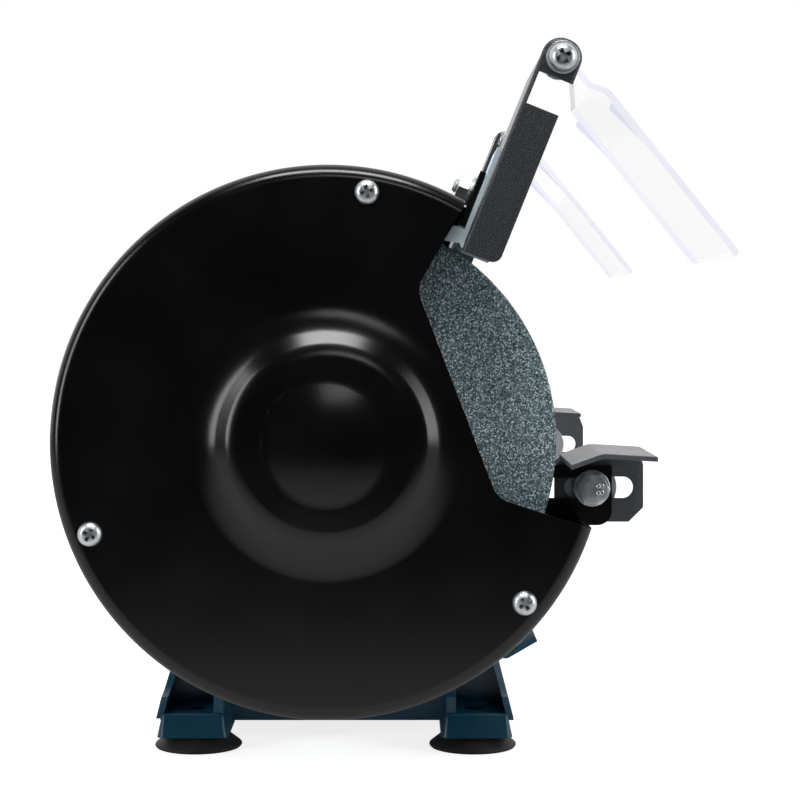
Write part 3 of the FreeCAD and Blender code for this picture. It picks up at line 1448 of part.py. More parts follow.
# Rubber cup feet under the pads, with a hole for the bench bolt
rubbers = []
for x_side in (-1, 1):
    for y_side in (-1, 1):
        rubber = new_body("rubber")
        sketch = new_sketch(rubber, "XZ_Plane")
        outline(sketch, [
            ("dims.bench_hole_diameter / 2", "0"),
            ("dims.rubber_diameter / 2 - 0.8", "0"),
            ("dims.rubber_diameter / 2", "dims.rubber_lip"),
            ("dims.rubber_neck_diameter / 2 + 1.5", "dims.foot_bottom - 1"),
            ("dims.rubber_neck_diameter / 2", "dims.foot_bottom"),
            ("dims.bench_hole_diameter / 2", "dims.foot_bottom"),
        ])
        revolve(rubber, sketch, "V_Axis")
        bind(
            rubber,
            Placement__Base__x=f"{x_side} * dims.hole_spacing_x / 2",
            Placement__Base__y=f"{y_side} * dims.hole_spacing_y / 2",
        )
        rubbers.append(rubber)
group(rubbers, "rubber_feet")

# Switch frame, body and rocker
frame_plate = new_body("frame_plate")
sketch = new_sketch(frame_plate, "XZ_Plane")
box_outline(
    sketch, "-dims.switch_frame_width / 2", "dims.switch_frame_width / 2",
    "-dims.switch_frame_height / 2", "dims.switch_frame_height / 2", "3",
)
box_outline(
    sketch, "-dims.switch_hole_width / 2", "dims.switch_hole_width / 2",
    "-dims.switch_hole_height / 2", "dims.switch_hole_height / 2",
)
pad(frame_plate, sketch, "dims.switch_frame_depth")
ROCKER_HINGE = "-dims.switch_frame_depth / 2"
TRUNNION_SPAN = "dims.switch_hole_width + 2 * dims.trunnion_length"
sketch = new_sketch(frame_plate, "YZ_Plane")
circle(sketch, ROCKER_HINGE, "0", "dims.trunnion_diameter / 2 + dims.fit_gap")
pocket(frame_plate, sketch, f"{TRUNNION_SPAN} + 2 * dims.slide_gap", midplane=True)
on_front(frame_plate)
keep(frame_plate, "switch_frame")
switch_body = switch_block(
    "switch_body", "dims.switch_hole_width", "dims.switch_body_depth - 4", "dims.switch_hole_height", "0",
)
on_front(switch_body, "-dims.switch_hole_width / 2", "0.5", "-dims.switch_hole_height / 2")
keep(switch_body, "switch_body")
rocker = new_body("rocker")
sketch = new_sketch(rocker, "YZ_Plane")
ROCKER_HALF = "(dims.switch_hole_height / 2 - 0.8)"
outline(sketch, [
    ("-0.6", f"-{ROCKER_HALF} * 0.45"),
    ("-0.6", f"{ROCKER_HALF} * 0.45"),
    ("-2.6", f"{ROCKER_HALF} - 0.4"),
    ("-dims.switch_frame_depth - 0.4", f"{ROCKER_HALF} - 0.4"),
    ("-dims.switch_frame_depth - dims.rocker_proud * 0.35", "0", "30"),
    ("-dims.switch_frame_depth - dims.rocker_proud", f"-{ROCKER_HALF} + 1"),
    ("-2.6", f"-{ROCKER_HALF} + 0.4"),
])
pad(rocker, sketch, "dims.switch_hole_width - 1", midplane=True)
sketch = new_sketch(rocker, "YZ_Plane")
circle(sketch, ROCKER_HINGE, "0", "dims.trunnion_diameter / 2")
pad(rocker, sketch, TRUNNION_SPAN, midplane=True)
on_front(rocker)
keep(rocker, "switch_rocker")

# Sloping lip under the switch, held by two screws from inside the base
lip = new_body("lip")
sketch = side_sketch(lip, "dims.lip_width / 2")
LIP_COS = "cos(dims.lip_lean)"
LIP_SIN = "sin(dims.lip_lean)"
BEND_FORWARD = half_depth("dims.lip_bend", "-dims.fit_gap")
LIP_RISE = f"((dims.lip_reach - {BEND_FORWARD}) * {LIP_SIN} / {LIP_COS})"
FOLD_RISE = "(dims.lip_sheet * 1.53)"


def lip_point(forward, level):
    return f"{forward}", f"({level}) - dims.shaft_height"


outline(sketch, [
    lip_point(half_depth("dims.lip_flange_top", "-dims.fit_gap"), "dims.lip_flange_top"),
    lip_point(BEND_FORWARD, "dims.lip_bend") + ("dims.lip_bend_radius",),
    lip_point("dims.lip_reach", f"dims.lip_bend + {LIP_RISE}"),
    lip_point(
        f"dims.lip_reach - dims.lip_sheet * {LIP_SIN}", f"dims.lip_bend + {LIP_RISE} + dims.lip_sheet * {LIP_COS}",
    ),
    lip_point(
        half_depth(f"(dims.lip_bend + {FOLD_RISE})", "-dims.fit_gap - dims.lip_sheet"),
        f"dims.lip_bend + {FOLD_RISE}",
    ) + ("dims.lip_bend_radius - dims.lip_sheet",),
    lip_point(half_depth("dims.lip_flange_top", "-dims.fit_gap - dims.lip_sheet"), "dims.lip_flange_top"),
])
pad(lip, sketch, "dims.lip_width").Reversed = True
lip_bores = [lip_bore(side, "dims.fit_gap") for side in (-1, 1)]
keep(cut(lip, lip_bores), "front_lip")
lip_screws = []
for side in (-1, 1):
    screw = pan_screw(
        "lip_screw", "dims.lip_screw_head", "dims.lip_screw_head_height",
        "dims.lip_screw_diameter", "dims.lip_screw_length",
    )
    at_lip_screw(screw, side, f"dims.base_wall * cos({WALL_LEAN})", 270)
    lip_screws.append(screw)
group(lip_screws, "front_lip_screws")

# Cord gland in the rear wall
gland = new_body("gland")
sketch = new_sketch(gland, "XZ_Plane")
outline(sketch, [
    ("dims.gland_bore / 2", "-dims.gland_tail"),
    ("dims.gland_thread / 2", "-dims.gland_tail"),
    ("dims.gland_thread / 2", "0"),
    ("dims.gland_flange / 2", "0", "0.8"),
    ("dims.gland_flange / 2", "dims.gland_flange_width", "1.5"),
    ("dims.gland_thread / 2 + 1", "dims.gland_flange_width"),
    ("dims.gland_bore / 2 + 1.5", "dims.gland_flange_width + dims.gland_nose", "1"),
    ("dims.gland_bore / 2", "dims.gland_flange_width + dims.gland_nose"),
])
revolve(gland, sketch, "V_Axis")
gland.Placement = Placement(Vector(), Rotation(Vector(1, 0, 0), -90))
bind(
    gland,
    Placement__Base__x="dims.gland_x",
    Placement__Base__y="dims.gland_face",
    Placement__Base__z="dims.gland_height",
)
keep(gland, "cord_gland")

# Run capacitor and terminal block on the bottom plate
capacitor = doc.addObject("Part::Cylinder", "capacitor")
capacitor.Placement = Placement(Vector(), Rotation(Vector(0, 1, 0), 90))
bind(
    capacitor,
    Radius="dims.capacitor_diameter / 2",
    Height="dims.capacitor_length",
    Placement__Base__x="-dims.capacitor_length / 2 - 12",
    Placement__Base__y="dims.capacitor_back",
    Placement__Base__z=f"{PLATE_TOP} + dims.capacitor_diameter / 2",
)
keep(capacitor, "capacitor")
terminal = doc.addObject("Part::Box", "terminal")
bind(
    terminal,
    Length="dims.terminal_width",
    Width="dims.terminal_depth",
    Height="dims.terminal_height",
    Placement__Base__x="-dims.terminal_width / 2",
    Placement__Base__y="-dims.terminal_front - dims.terminal_depth / 2",
    Placement__Base__z=PLATE_TOP,
)
keep(terminal, "terminal_block")

# Build, test and write every sub-part
doc.recompute()
for obj in doc.Objects:
    if "Invalid" in obj.State or "Error" in obj.State:
        raise RuntimeError(f"{obj.Name} ({obj.Label}) failed: {obj.State}")
os.makedirs("parts", exist_ok=True)
for node in nodes:
    shape = node.Shape
    if shape.isNull() or not shape.isValid():
        raise RuntimeError(f"{node.Label} has no valid shape")
    shape.exportStep(f"parts/{node.Label}.step")
    print(f"{node.Label}: {len(shape.Solids)} solids, {shape.Volume:.0f} mm3")
print(f"{len(nodes)} sub-parts written")
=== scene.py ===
import math
import bmesh
import bpy
from mathutils import Matrix, Vector


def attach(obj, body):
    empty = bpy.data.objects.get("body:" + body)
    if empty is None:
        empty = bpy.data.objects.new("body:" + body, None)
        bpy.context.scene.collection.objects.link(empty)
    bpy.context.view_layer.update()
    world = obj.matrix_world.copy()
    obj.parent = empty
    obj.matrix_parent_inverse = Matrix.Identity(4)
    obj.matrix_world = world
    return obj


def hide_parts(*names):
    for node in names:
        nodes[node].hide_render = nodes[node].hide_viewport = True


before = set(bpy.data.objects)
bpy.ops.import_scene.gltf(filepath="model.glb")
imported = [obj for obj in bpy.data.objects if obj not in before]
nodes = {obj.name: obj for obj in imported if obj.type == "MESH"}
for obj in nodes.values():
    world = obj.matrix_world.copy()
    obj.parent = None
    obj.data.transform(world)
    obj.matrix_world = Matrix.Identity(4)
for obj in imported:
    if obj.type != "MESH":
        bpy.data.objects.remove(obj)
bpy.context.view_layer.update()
scene = bpy.context.scene


# Base casting: a hollow pedestal with sloping walls and four pocketed feet, cast in metal.
# It is painted dark blue-green all over; the coat rounds the edges and has a slight skin.
MM = 0.001
HARD_ANGLE = math.radians(28)
SHADE_ANGLE = math.radians(33)


def shader_node(tree, kind, settings=None, **inputs):
    """Add a shader node. An input that is a socket is linked, and any other value is set."""
    made = tree.nodes.new(kind)
    for key, setting in (settings or {}).items():
        setattr(made, key, setting)
    for key, given in inputs.items():
        socket = made.inputs[key.replace("_", " ")]
        if isinstance(given, bpy.types.NodeSocket):
            tree.links.new(given, socket)
        else:
            socket.default_value = given
    return made


def blend_colours(tree, factor, first, second):
    """Mix two colours, each a socket or a plain colour."""
    made = tree.nodes.new("ShaderNodeMix")
    made.data_type = "RGBA"
    for socket, given in ((made.inputs[0], factor), (made.inputs[6], first), (made.inputs[7], second)):
        if isinstance(given, bpy.types.NodeSocket):
            tree.links.new(given, socket)
        else:
            socket.default_value = given
    return made.outputs[2]


def spread(tree, source, from_low, from_high, to_low, to_high):
    """Map one range of a value onto another, and hold it there."""
    made = shader_node(
        tree, "ShaderNodeMapRange", Value=source,
        From_Min=from_low, From_Max=from_high, To_Min=to_low, To_Max=to_high,
    )
    return made.outputs["Result"]


def multiply(tree, first, second):
    made = shader_node(tree, "ShaderNodeMath", {"operation": "MULTIPLY"})
    for socket, given in zip(made.inputs, (first, second)):
        if isinstance(given, bpy.types.NodeSocket):
            tree.links.new(given, socket)
        else:
            socket.default_value = given
    return made.outputs[0]


def new_group(name, inputs, outputs):
    """An empty shader group with float inputs and a vector to start from."""
    tree = bpy.data.node_groups.new(name, "ShaderNodeTree")
    tree.interface.new_socket(name="Vector", in_out="INPUT", socket_type="NodeSocketVector")
    for title, start in inputs.items():
        socket = tree.interface.new_socket(name=title, in_out="INPUT", socket_type="NodeSocketFloat")
        socket.default_value = start
    for title in outputs:
        tree.interface.new_socket(name=title, in_out="OUTPUT", socket_type="NodeSocketFloat")
    return tree, tree.nodes.new("NodeGroupInput").outputs, tree.nodes.new("NodeGroupOutput").inputs


paint_skin, given, result = new_group("paint_skin", {"Scale": 400.0}, ("Height", "Tone"))
waves = shader_node(
    paint_skin, "ShaderNodeTexNoise", Vector=given["Vector"], Scale=given["Scale"], Detail=3.0, Roughness=0.6,
)
patches = shader_node(paint_skin, "ShaderNodeTexNoise", Vector=given["Vector"], Scale=38.0, Detail=4.0)
paint_skin.links.new(waves.outputs["Fac"], result["Height"])
paint_skin.links.new(spread(paint_skin, patches.outputs["Fac"], 0.3, 0.7, 0.0, 1.0), result["Tone"])

edge_wear, given, result = new_group("edge_wear", {"Amount": 0.5}, ("Mask",))
curve = shader_node(edge_wear, "ShaderNodeNewGeometry").outputs["Pointiness"]
chips = shader_node(
    edge_wear, "ShaderNodeTexNoise", Vector=given["Vector"], Scale=420.0, Detail=5.0, Roughness=0.7,
)
chipped = spread(edge_wear, chips.outputs["Fac"], 0.52, 0.66, 0.0, 1.0)
edges = spread(edge_wear, curve, 0.53, 0.6, 0.0, 1.0)
worn_edges = multiply(edge_wear, edges, chipped)
edge_wear.links.new(multiply(edge_wear, worn_edges, given["Amount"]), result["Mask"])

dust_specks, given, result = new_group("dust_specks", {"Scale": 500.0, "Amount": 0.3}, ("Mask",))
specks = shader_node(dust_specks, "ShaderNodeTexVoronoi", Vector=given["Vector"], Scale=given["Scale"])
dots = spread(dust_specks, specks.outputs["Distance"], 0.07, 0.16, 1.0, 0.0)
rarity = shader_node(dust_specks, "ShaderNodeSeparateColor", Color=specks.outputs["Color"])
rare = spread(dust_specks, rarity.outputs["Red"], 0.93, 0.97, 0.0, 1.0)
rare_dots = multiply(dust_specks, dots, rare)
dust_specks.links.new(multiply(dust_specks, rare_dots, given["Amount"]), result["Mask"])


def new_material(name, **sockets):
    """A material with its own principled shader and object coordinates."""
    material = bpy.data.materials.new(name)
    material.use_nodes = True
    tree = material.node_tree
    shader = tree.nodes["Principled BSDF"]
    for key, given in sockets.items():
        shader.inputs[key.replace("_", " ")].default_value = given
    return material, tree, shader, shader_node(tree, "ShaderNodeTexCoord").outputs["Object"]


def use_group(tree, group, vector, **inputs):
    made = shader_node(tree, "ShaderNodeGroup", {"node_tree": group})
    tree.links.new(vector, made.inputs["Vector"])
    for key, given in inputs.items():
        made.inputs[key].default_value = given
    return made.outputs


def add_bump(tree, shader, height, strength, distance):
    bump = shader_node(tree, "ShaderNodeBump", Height=height, Strength=strength, Distance=distance)
    tree.links.new(bump.outputs["Normal"], shader.inputs["Normal"])


def painted(name, dark, light, bare, rough, skin, bump, wear, dust, speckle=0.0, **sockets):
    """Paint on metal: two tones of the coat, worn edges down to the metal, pale specks and dust."""
    material, tree, shader, place = new_material(name, **sockets)
    coat = use_group(tree, paint_skin, place, Scale=skin)
    worn = use_group(tree, edge_wear, place, Amount=wear)["Mask"]
    specks = use_group(tree, dust_specks, place, Amount=dust)["Mask"]
    colour = blend_colours(tree, coat["Tone"], dark, light)
    colour = blend_colours(tree, worn, colour, bare)
    colour = blend_colours(tree, specks, colour, (0.5, 0.5, 0.5, 1))
    if speckle:
        peaks = spread(tree, coat["Height"], 0.48, 0.66, 0.0, speckle)
        colour = blend_colours(tree, peaks, colour, bare)
    tree.links.new(colour, shader.inputs["Base Color"])
    tree.links.new(spread(tree, coat["Tone"], 0, 1, rough - 0.04, rough + 0.04), shader.inputs["Roughness"])
    add_bump(tree, shader, coat["Height"], bump, 0.0004)
    return material


def softened(node, width, segments=2, shortest=0):
    """The shape of a CAD node with its hard edges rounded, but for short ones; sizes are in millimetres."""
    shape = bmesh.new()
    shape.from_mesh(nodes[node].data)
    bmesh.ops.remove_doubles(shape, verts=shape.verts, dist=1e-6)
    bmesh.ops.dissolve_limit(shape, angle_limit=math.radians(0.4), verts=shape.verts, edges=shape.edges)
    long_edges = [edge for edge in shape.edges if edge.calc_length() > shortest * MM]
    hard = [edge for edge in long_edges if edge.is_manifold and edge.calc_face_angle(0) > HARD_ANGLE]
    bmesh.ops.bevel(
        shape, geom=hard, offset=width * MM, offset_type="OFFSET", segments=segments, profile=0.5,
        affect="EDGES", clamp_overlap=True, material=-1,
    )
    bmesh.ops.dissolve_degenerate(shape, dist=4e-6, edges=shape.edges)
    return shape


def make_piece(name, shape, body, slot, material, *replaced):
    """Turn a bmesh into a piece that rides on a body and stands for CAD nodes."""
    mesh = bpy.data.meshes.new(name)
    shape.to_mesh(mesh)
    shape.free()
    mesh.shade_smooth()
    mesh.set_sharp_from_angle(angle=SHADE_ANGLE)
    mesh.materials.append(material)
    piece = bpy.data.objects.new(name, mesh)
    scene.collection.objects.link(piece)
    even = piece.modifiers.new("even_shading", "WEIGHTED_NORMAL")
    even.keep_sharp = True
    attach(piece, body)
    if replaced:
        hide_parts(*replaced)
    return piece


base_paint = painted(
    "base_paint", (0.001, 0.052, 0.1, 1), (0.002, 0.068, 0.125, 1), (0.2, 0.21, 0.21, 1),
    rough=0.34, skin=520.0, bump=0.2, wear=0.04, dust=0.05, Coat_Weight=0.1, Coat_Roughness=0.2,
)
make_piece("base", softened("base_casting", 0.8, 3), "frame", "base_paint", base_paint, "base_casting")


# Rubber cup feet: four soft black discs with a thin flared lip, each under one pad of the base.
# A bench bolt can pass through the middle, and the underside is hollowed so that the lip grips.
def turned(profile, steps=96, closed=False):
    """Turn a profile about Z. Points are (height, radius) or (height, radius, rounding), in millimetres."""
    shape = bmesh.new()
    line = [shape.verts.new((point[1] * MM, 0, point[0] * MM)) for point in profile]
    for first, second in zip(line, line[1:]):
        shape.edges.new((first, second))
    if closed:
        shape.edges.new((line[-1], line[0]))
    bmesh.ops.spin(
        shape, geom=shape.verts[:] + shape.edges[:], cent=(0, 0, 0), axis=(0, 0, 1),
        angle=math.tau, steps=steps, use_merge=True,
    )
    bmesh.ops.remove_doubles(shape, verts=shape.verts, dist=1e-7)
    bmesh.ops.recalc_face_normals(shape, faces=shape.faces)
    for point in profile:
        if len(point) == 3:
            round_ring(shape, *point)
    return shape


def round_ring(shape, height, radius, rounding):
    """Round the ring of edges at one height and radius."""
    def on_ring(vert):
        off = abs(math.hypot(vert.co.x, vert.co.y) - radius * MM)
        return off < 1e-6 and abs(vert.co.z - height * MM) < 1e-6
    ring = [edge for edge in shape.edges if on_ring(edge.verts[0]) and on_ring(edge.verts[1])]
    steps = 10 if rounding > 2 else 6
    bmesh.ops.bevel(
        shape, geom=ring, offset=rounding * MM, offset_type="OFFSET", segments=steps, profile=0.5,
        affect="EDGES", clamp_overlap=True, material=-1,
    )


def moved(shape, matrix):
    """A copy of a shape at another place; the original stays for more copies."""
    copy = shape.copy()
    bmesh.ops.transform(copy, matrix=matrix, verts=copy.verts)
    return copy


def joined(shapes):
    """Several shapes as one."""
    whole = bmesh.new()
    for shape in shapes:
        mesh = bpy.data.meshes.new("joined")
        shape.to_mesh(mesh)
        shape.free()
        whole.from_mesh(mesh)
        bpy.data.meshes.remove(mesh)
    return whole


def shift(x, y, z):
    """A move in millimetres."""
    return Matrix.Translation(Vector((x, y, z)) * MM)


rubber, tree, shader, place = new_material("rubber", Specular_IOR_Level=0.35)
skin = use_group(tree, paint_skin, place, Scale=900.0)
tree.links.new(
    blend_colours(tree, skin["Tone"], (0.02, 0.02, 0.021, 1), (0.036, 0.036, 0.037, 1)),
    shader.inputs["Base Color"],
)
tree.links.new(spread(tree, skin["Tone"], 0, 1, 0.5, 0.68), shader.inputs["Roughness"])
add_bump(tree, shader, skin["Height"], 0.2, 0.0003)
HOLE_X, HOLE_Y = 69, 50
cup = turned([
    (0.9, 3.5), (0, 4.6), (0, 6.4), (1.0, 8.2, 0.6), (0.6, 12.6, 0.8), (0, 14.2), (0, 15.3), (0.8, 16, 0.5),
    (1.5, 15.4, 0.5), (3.4, 12.9, 2.0), (4.6, 11.4, 0.6), (5.3, 11.0, 0.3), (5.3, 3.5),
], closed=True)
cups = [moved(cup, shift(x, y, 0)) for x in (-HOLE_X, HOLE_X) for y in (-HOLE_Y, HOLE_Y)]
make_piece("cup_feet", joined(cups), "frame", "rubber", rubber, "rubber_feet")


# Bottom plate: plain zinc-plated sheet that closes the hollow of the base from below.
# Four pan-head screws with cross recesses hold it to posts inside the casting.
def plated(name, dark, light, rough, streak, recess_shade, metal):
    """Zinc plate: bright metal with a mottled spangle and fine drawn streaks, and painted shade in its
    recesses.
    """
    material, tree, shader, place = new_material(name, Metallic=metal)
    patches = use_group(tree, paint_skin, place, Scale=160.0)
    stretched = shader_node(tree, "ShaderNodeMapping", Vector=place, Scale=streak).outputs["Vector"]
    lines = shader_node(tree, "ShaderNodeTexNoise", Vector=stretched, Scale=300.0, Detail=4.0).outputs["Fac"]
    curve = shader_node(tree, "ShaderNodeNewGeometry").outputs["Pointiness"]
    # Painted shade: the colour darkens towards black in recesses, which are found by curvature.
    unshaded_metal = spread(tree, curve, 0.4, 0.49, 1.0 - recess_shade, 1.0)
    colour = blend_colours(tree, patches["Tone"], dark, light)
    colour = blend_colours(tree, unshaded_metal, (0.03, 0.03, 0.03, 1), colour)
    tree.links.new(colour, shader.inputs["Base Color"])
    tree.links.new(spread(tree, lines, 0.3, 0.7, rough - 0.06, rough + 0.1), shader.inputs["Roughness"])
    add_bump(tree, shader, lines, 0.06, 0.0002)
    return material


def carve(shape, tool, operation="DIFFERENCE"):
    """Cut one shape by another, or keep what they share."""
    solids = []
    for part in (shape, tool):
        mesh = bpy.data.meshes.new("carve")
        part.to_mesh(mesh)
        part.free()
        solids.append(bpy.data.objects.new("carve", mesh))
        scene.collection.objects.link(solids[-1])
    cut = solids[0].modifiers.new("cut", "BOOLEAN")
    cut.operation = operation
    cut.solver = "EXACT"
    cut.use_self = True
    cut.object = solids[1]
    whole = bmesh.new()
    bpy.context.view_layer.update()
    whole.from_object(solids[0], bpy.context.evaluated_depsgraph_get())
    for solid in solids:
        bpy.data.meshes.remove(solid.data)
    return whole


def cross_recess(size, width, depth, top):
    """The driver's cross: two wedges that narrow downwards."""
    narrowing = 0.62
    cross = bmesh.new()
    for turn in (0, 90):
        wedge = bmesh.ops.create_cube(cross, size=1)["verts"]
        for vert in wedge:
            shrink = narrowing if vert.co.z < 0 else 1
            vert.co.x *= size * shrink
            vert.co.y *= width * shrink
            vert.co.z = top + 0.3 if vert.co.z > 0 else top - depth
        bmesh.ops.scale(cross, verts=wedge, vec=(MM, MM, MM))
        quarter = Matrix.Rotation(math.radians(turn), 3, "Z")
        bmesh.ops.rotate(cross, verts=wedge, cent=(0, 0, 0), matrix=quarter)
    return cross


def pan_screw(head, height, shank, length):
    """Pan-head screw along Z: the head sits on z = 0 and the shank goes down."""
    shape = turned([
        (-length, 0), (-length, shank / 2 - 0.5), (-length + 0.5, shank / 2), (0, shank / 2),
        (0, head / 2, 0.15),
        (height * 0.5, head / 2, height * 0.38), (height * 0.93, head * 0.3, height * 0.2), (height, 0),
    ], steps=48)
    return carve(shape, cross_recess(head * 0.62, head * 0.17, height * 0.75, height))


zinc = plated(
    "zinc", (0.62, 0.76, 0.84, 1), (0.76, 0.87, 0.93, 1),
    rough=0.44, streak=(1, 1, 8), recess_shade=0.0, metal=0.5,
)
# Painted shade fills the fasteners' recesses fully, such as cross recesses and thread roots.
fastener = plated(
    "fastener", (0.62, 0.66, 0.69, 1), (0.78, 0.8, 0.82, 1),
    rough=0.36, streak=(1, 1, 1), recess_shade=1.0, metal=1.0,
)
make_piece("bottom_plate", softened("base_plate", 0.2), "frame", "zinc", zinc, "base_plate")
PLATE_SCREW_X, PLATE_SCREW_Y, PLATE_UNDERSIDE = 45, 56, 6.5
screw = pan_screw(7.5, 2.2, 4, 9)
flip = Matrix.Rotation(math.pi, 4, "X")
screws = []
for x in (-PLATE_SCREW_X, PLATE_SCREW_X):
    for y in (-PLATE_SCREW_Y, PLATE_SCREW_Y):
        driven = Matrix.Rotation(len(screws) * 0.7, 4, "Z")
        screws.append(moved(screw, shift(x, y, PLATE_UNDERSIDE) @ flip @ driven))
make_piece("bottom_plate_screws", joined(screws), "frame", "fastener", fastener, "base_plate_screws")


# Motor shell and end bells: a rolled tube between two castings, painted like the base.
# Each bell holds a bearing and carries a guard, and four long bolts tie the two together.
SHAFT_Z = 116
SHELL_INSIDE, SHELL_OUTSIDE, SHELL_HALF = 56, 58, 62


def outboard(side, x, forward=0, up=0, turn=0):
    """Place a shape made along Z so that it points outboard, at heights above the shaft."""
    sign = -1 if side == "left" else 1
    swing = Matrix.Rotation(sign * math.pi / 2, 4, "Y")
    return shift(sign * x, -forward, SHAFT_Z + up) @ swing @ Matrix.Rotation(math.radians(turn), 4, "Z")


def around(radius, angle):
    """How far forward and up a point on a circle lies, with the angle in degrees from the front."""
    return radius * math.cos(math.radians(angle)), radius * math.sin(math.radians(angle))


shell = turned([
    (-SHELL_HALF, SHELL_INSIDE, 0.4), (SHELL_HALF, SHELL_INSIDE, 0.4),
    (SHELL_HALF, SHELL_OUTSIDE, 0.6), (-SHELL_HALF, SHELL_OUTSIDE, 0.6),
], steps=160, closed=True)
make_piece(
    "motor_tube", moved(shell, outboard("right", 0)), "frame", "base_paint", base_paint, "motor_shell",
)
for side in ("left", "right"):
    bell = softened(f"{side}_end_bell", 0.5)
    make_piece(f"{side}_bell", bell, "frame", "base_paint", base_paint, f"{side}_end_bell")


def hex_block(flats, low, high, hole=0):
    """Hexagon along Z with both rims chamfered, as on a bolt head or a nut."""
    corner = flats / math.sqrt(3)
    rim = flats * 0.475
    drop = (corner - rim) * math.tan(math.radians(28))
    shape = bmesh.new()
    bmesh.ops.create_cone(
        shape, cap_ends=True, segments=6, radius1=corner * MM, radius2=corner * MM, depth=(high - low) * MM,
        matrix=shift(0, 0, (low + high) / 2),
    )
    lathe = turned([
        (low, 0), (low, rim), (low + drop, corner + 0.02), (high - drop, corner + 0.02),
        (high, rim), (high, 0),
    ], steps=48)
    shape = carve(shape, lathe, "INTERSECT")
    if hole:
        drill = turned([(low - 1, 0), (low - 1, hole / 2), (high + 1, hole / 2), (high + 1, 0)], 32)
        shape = carve(shape, drill)
    return shape


def thread(diameter, pitch, low, high):
    """A screw thread along Z: one ridge wound round its core."""
    shape = bmesh.new()
    root = diameter / 2 - pitch * 0.55
    turns = int((high - low) / pitch) - 1
    steps = 24
    tooth = [
        shape.verts.new(Vector((radius, 0, low + along)) * MM)
        for radius, along in ((root, 0), (diameter / 2, pitch * 0.5), (root, pitch))
    ]
    for number in range(3):
        shape.edges.new((tooth[number - 1], tooth[number]))
    bmesh.ops.spin(
        shape, geom=shape.verts[:] + shape.edges[:], cent=(0, 0, 0), axis=(0, 0, 1),
        dvec=(0, 0, pitch * MM / steps), angle=math.tau * turns, steps=steps * turns,
    )
    bmesh.ops.holes_fill(shape, edges=shape.edges, sides=3)
    bmesh.ops.recalc_face_normals(shape, faces=shape.faces)
    core = turned([(low, 0), (low, root - 0.3), (low + 0.4, root + 0.05), (high, root + 0.05), (high, 0)], 32)
    return joined([core, shape])


TIE_CIRCLE, TIE_PLAIN, TIE_LENGTH, BELL_FACE = 52, 142, 154.5, 74
tie_head = hex_block(8, 0, 3.5)
tie_shank = turned([(-TIE_PLAIN, 0), (-TIE_PLAIN, 2.5), (0, 2.5), (0, 0)], 32)
tie_end = thread(5, 0.8, -TIE_LENGTH, -TIE_PLAIN)
tie_nut = hex_block(8, 0, 3.5, 4.6)
bolts = []
nuts = []
for angle in (45, 135, 225, 315):
    forward, up = around(TIE_CIRCLE, angle)
    seat = outboard("left", BELL_FACE, forward, up, angle * 1.3)
    bolts += [moved(tie_head, seat), moved(tie_shank, seat), moved(tie_end, seat)]
    nuts.append(moved(tie_nut, outboard("right", BELL_FACE, forward, up, angle * 0.7)))
make_piece("tie_rods", joined(bolts), "frame", "fastener", fastener, "tie_bolts")
make_piece("tie_rod_nuts", joined(nuts), "frame", "fastener", fastener, "tie_nuts")


# Rotor, stator, windings and bearings: the motor's insides, on the turned shaft.
# They are steel, stacked sheet and enamelled copper, and stay hidden by the shell.
def dress(material, *names):
    """Give CAD nodes that keep their shape a finish."""
    for name in names:
        nodes[name].material_slots[0].material = material


def banded(name, dark, light, metallic, rough, bands, axis="X"):
    """Fine bands across one axis, as on turned metal, stacked sheets or wound wire."""
    material, tree, shader, place = new_material(name, Metallic=metallic)
    wave = shader_node(
        tree, "ShaderNodeTexWave", {"bands_direction": axis}, Vector=place, Scale=bands, Distortion=0.6,
        Detail=2.0, Detail_Scale=2.0,
    ).outputs["Fac"]
    tree.links.new(blend_colours(tree, wave, dark, light), shader.inputs["Base Color"])
    tree.links.new(spread(tree, wave, 0, 1, rough + 0.06, rough - 0.06), shader.inputs["Roughness"])
    add_bump(tree, shader, wave, 0.15, 0.0001)
    return material


steel = banded("turned_steel", (0.36, 0.36, 0.37, 1), (0.5, 0.5, 0.5, 1), 1.0, 0.3, 420.0)
sheets = banded("stacked_sheet", (0.12, 0.12, 0.13, 1), (0.24, 0.24, 0.25, 1), 1.0, 0.45, 320.0)
copper = banded("wound_copper", (0.36, 0.12, 0.05, 1), (0.62, 0.25, 0.11, 1), 1.0, 0.35, 160.0)
dress(steel, "rotor_shaft", "bearing_inner_rings", "bearing_outer_rings", "bearing_balls", "preload_washers")
dress(sheets, "rotor_core", "stator_core")
dress(copper, "stator_windings")


# Grinding wheels: grey vitrified abrasive, open-grained all over, with a slightly worn rim.
# Each is clamped between two relieved flanges and paper blotters by a nut on the shaft.
grit, tree, shader, place = new_material("grit", Specular_IOR_Level=0.6)
grains = shader_node(tree, "ShaderNodeTexVoronoi", Vector=place, Scale=2300.0, Randomness=1.0)
tint = shader_node(tree, "ShaderNodeSeparateColor", Color=grains.outputs["Color"]).outputs["Red"]
pores = shader_node(tree, "ShaderNodeTexNoise", Vector=place, Scale=2200.0, Detail=3.0, Roughness=0.7)
open_pores = spread(tree, pores.outputs["Fac"], 0.36, 0.56, 0.0, 1.0)
colour = blend_colours(tree, tint, (0.007, 0.017, 0.022, 1), (0.36, 0.56, 0.63, 1))
bright = spread(tree, tint, 0.76, 0.82, 0.0, 0.95)
colour = blend_colours(tree, bright, colour, (0.84, 0.97, 1.0, 1))
colour = blend_colours(tree, open_pores, (0.012, 0.02, 0.023, 1), colour)
tree.links.new(colour, shader.inputs["Base Color"])
tree.links.new(spread(tree, tint, 0, 1, 0.85, 0.4), shader.inputs["Roughness"])
grain_height = multiply(tree, spread(tree, grains.outputs["Distance"], 0.0, 0.7, 1.0, 0.2), open_pores)
add_bump(tree, shader, grain_height, 0.7, 0.0006)

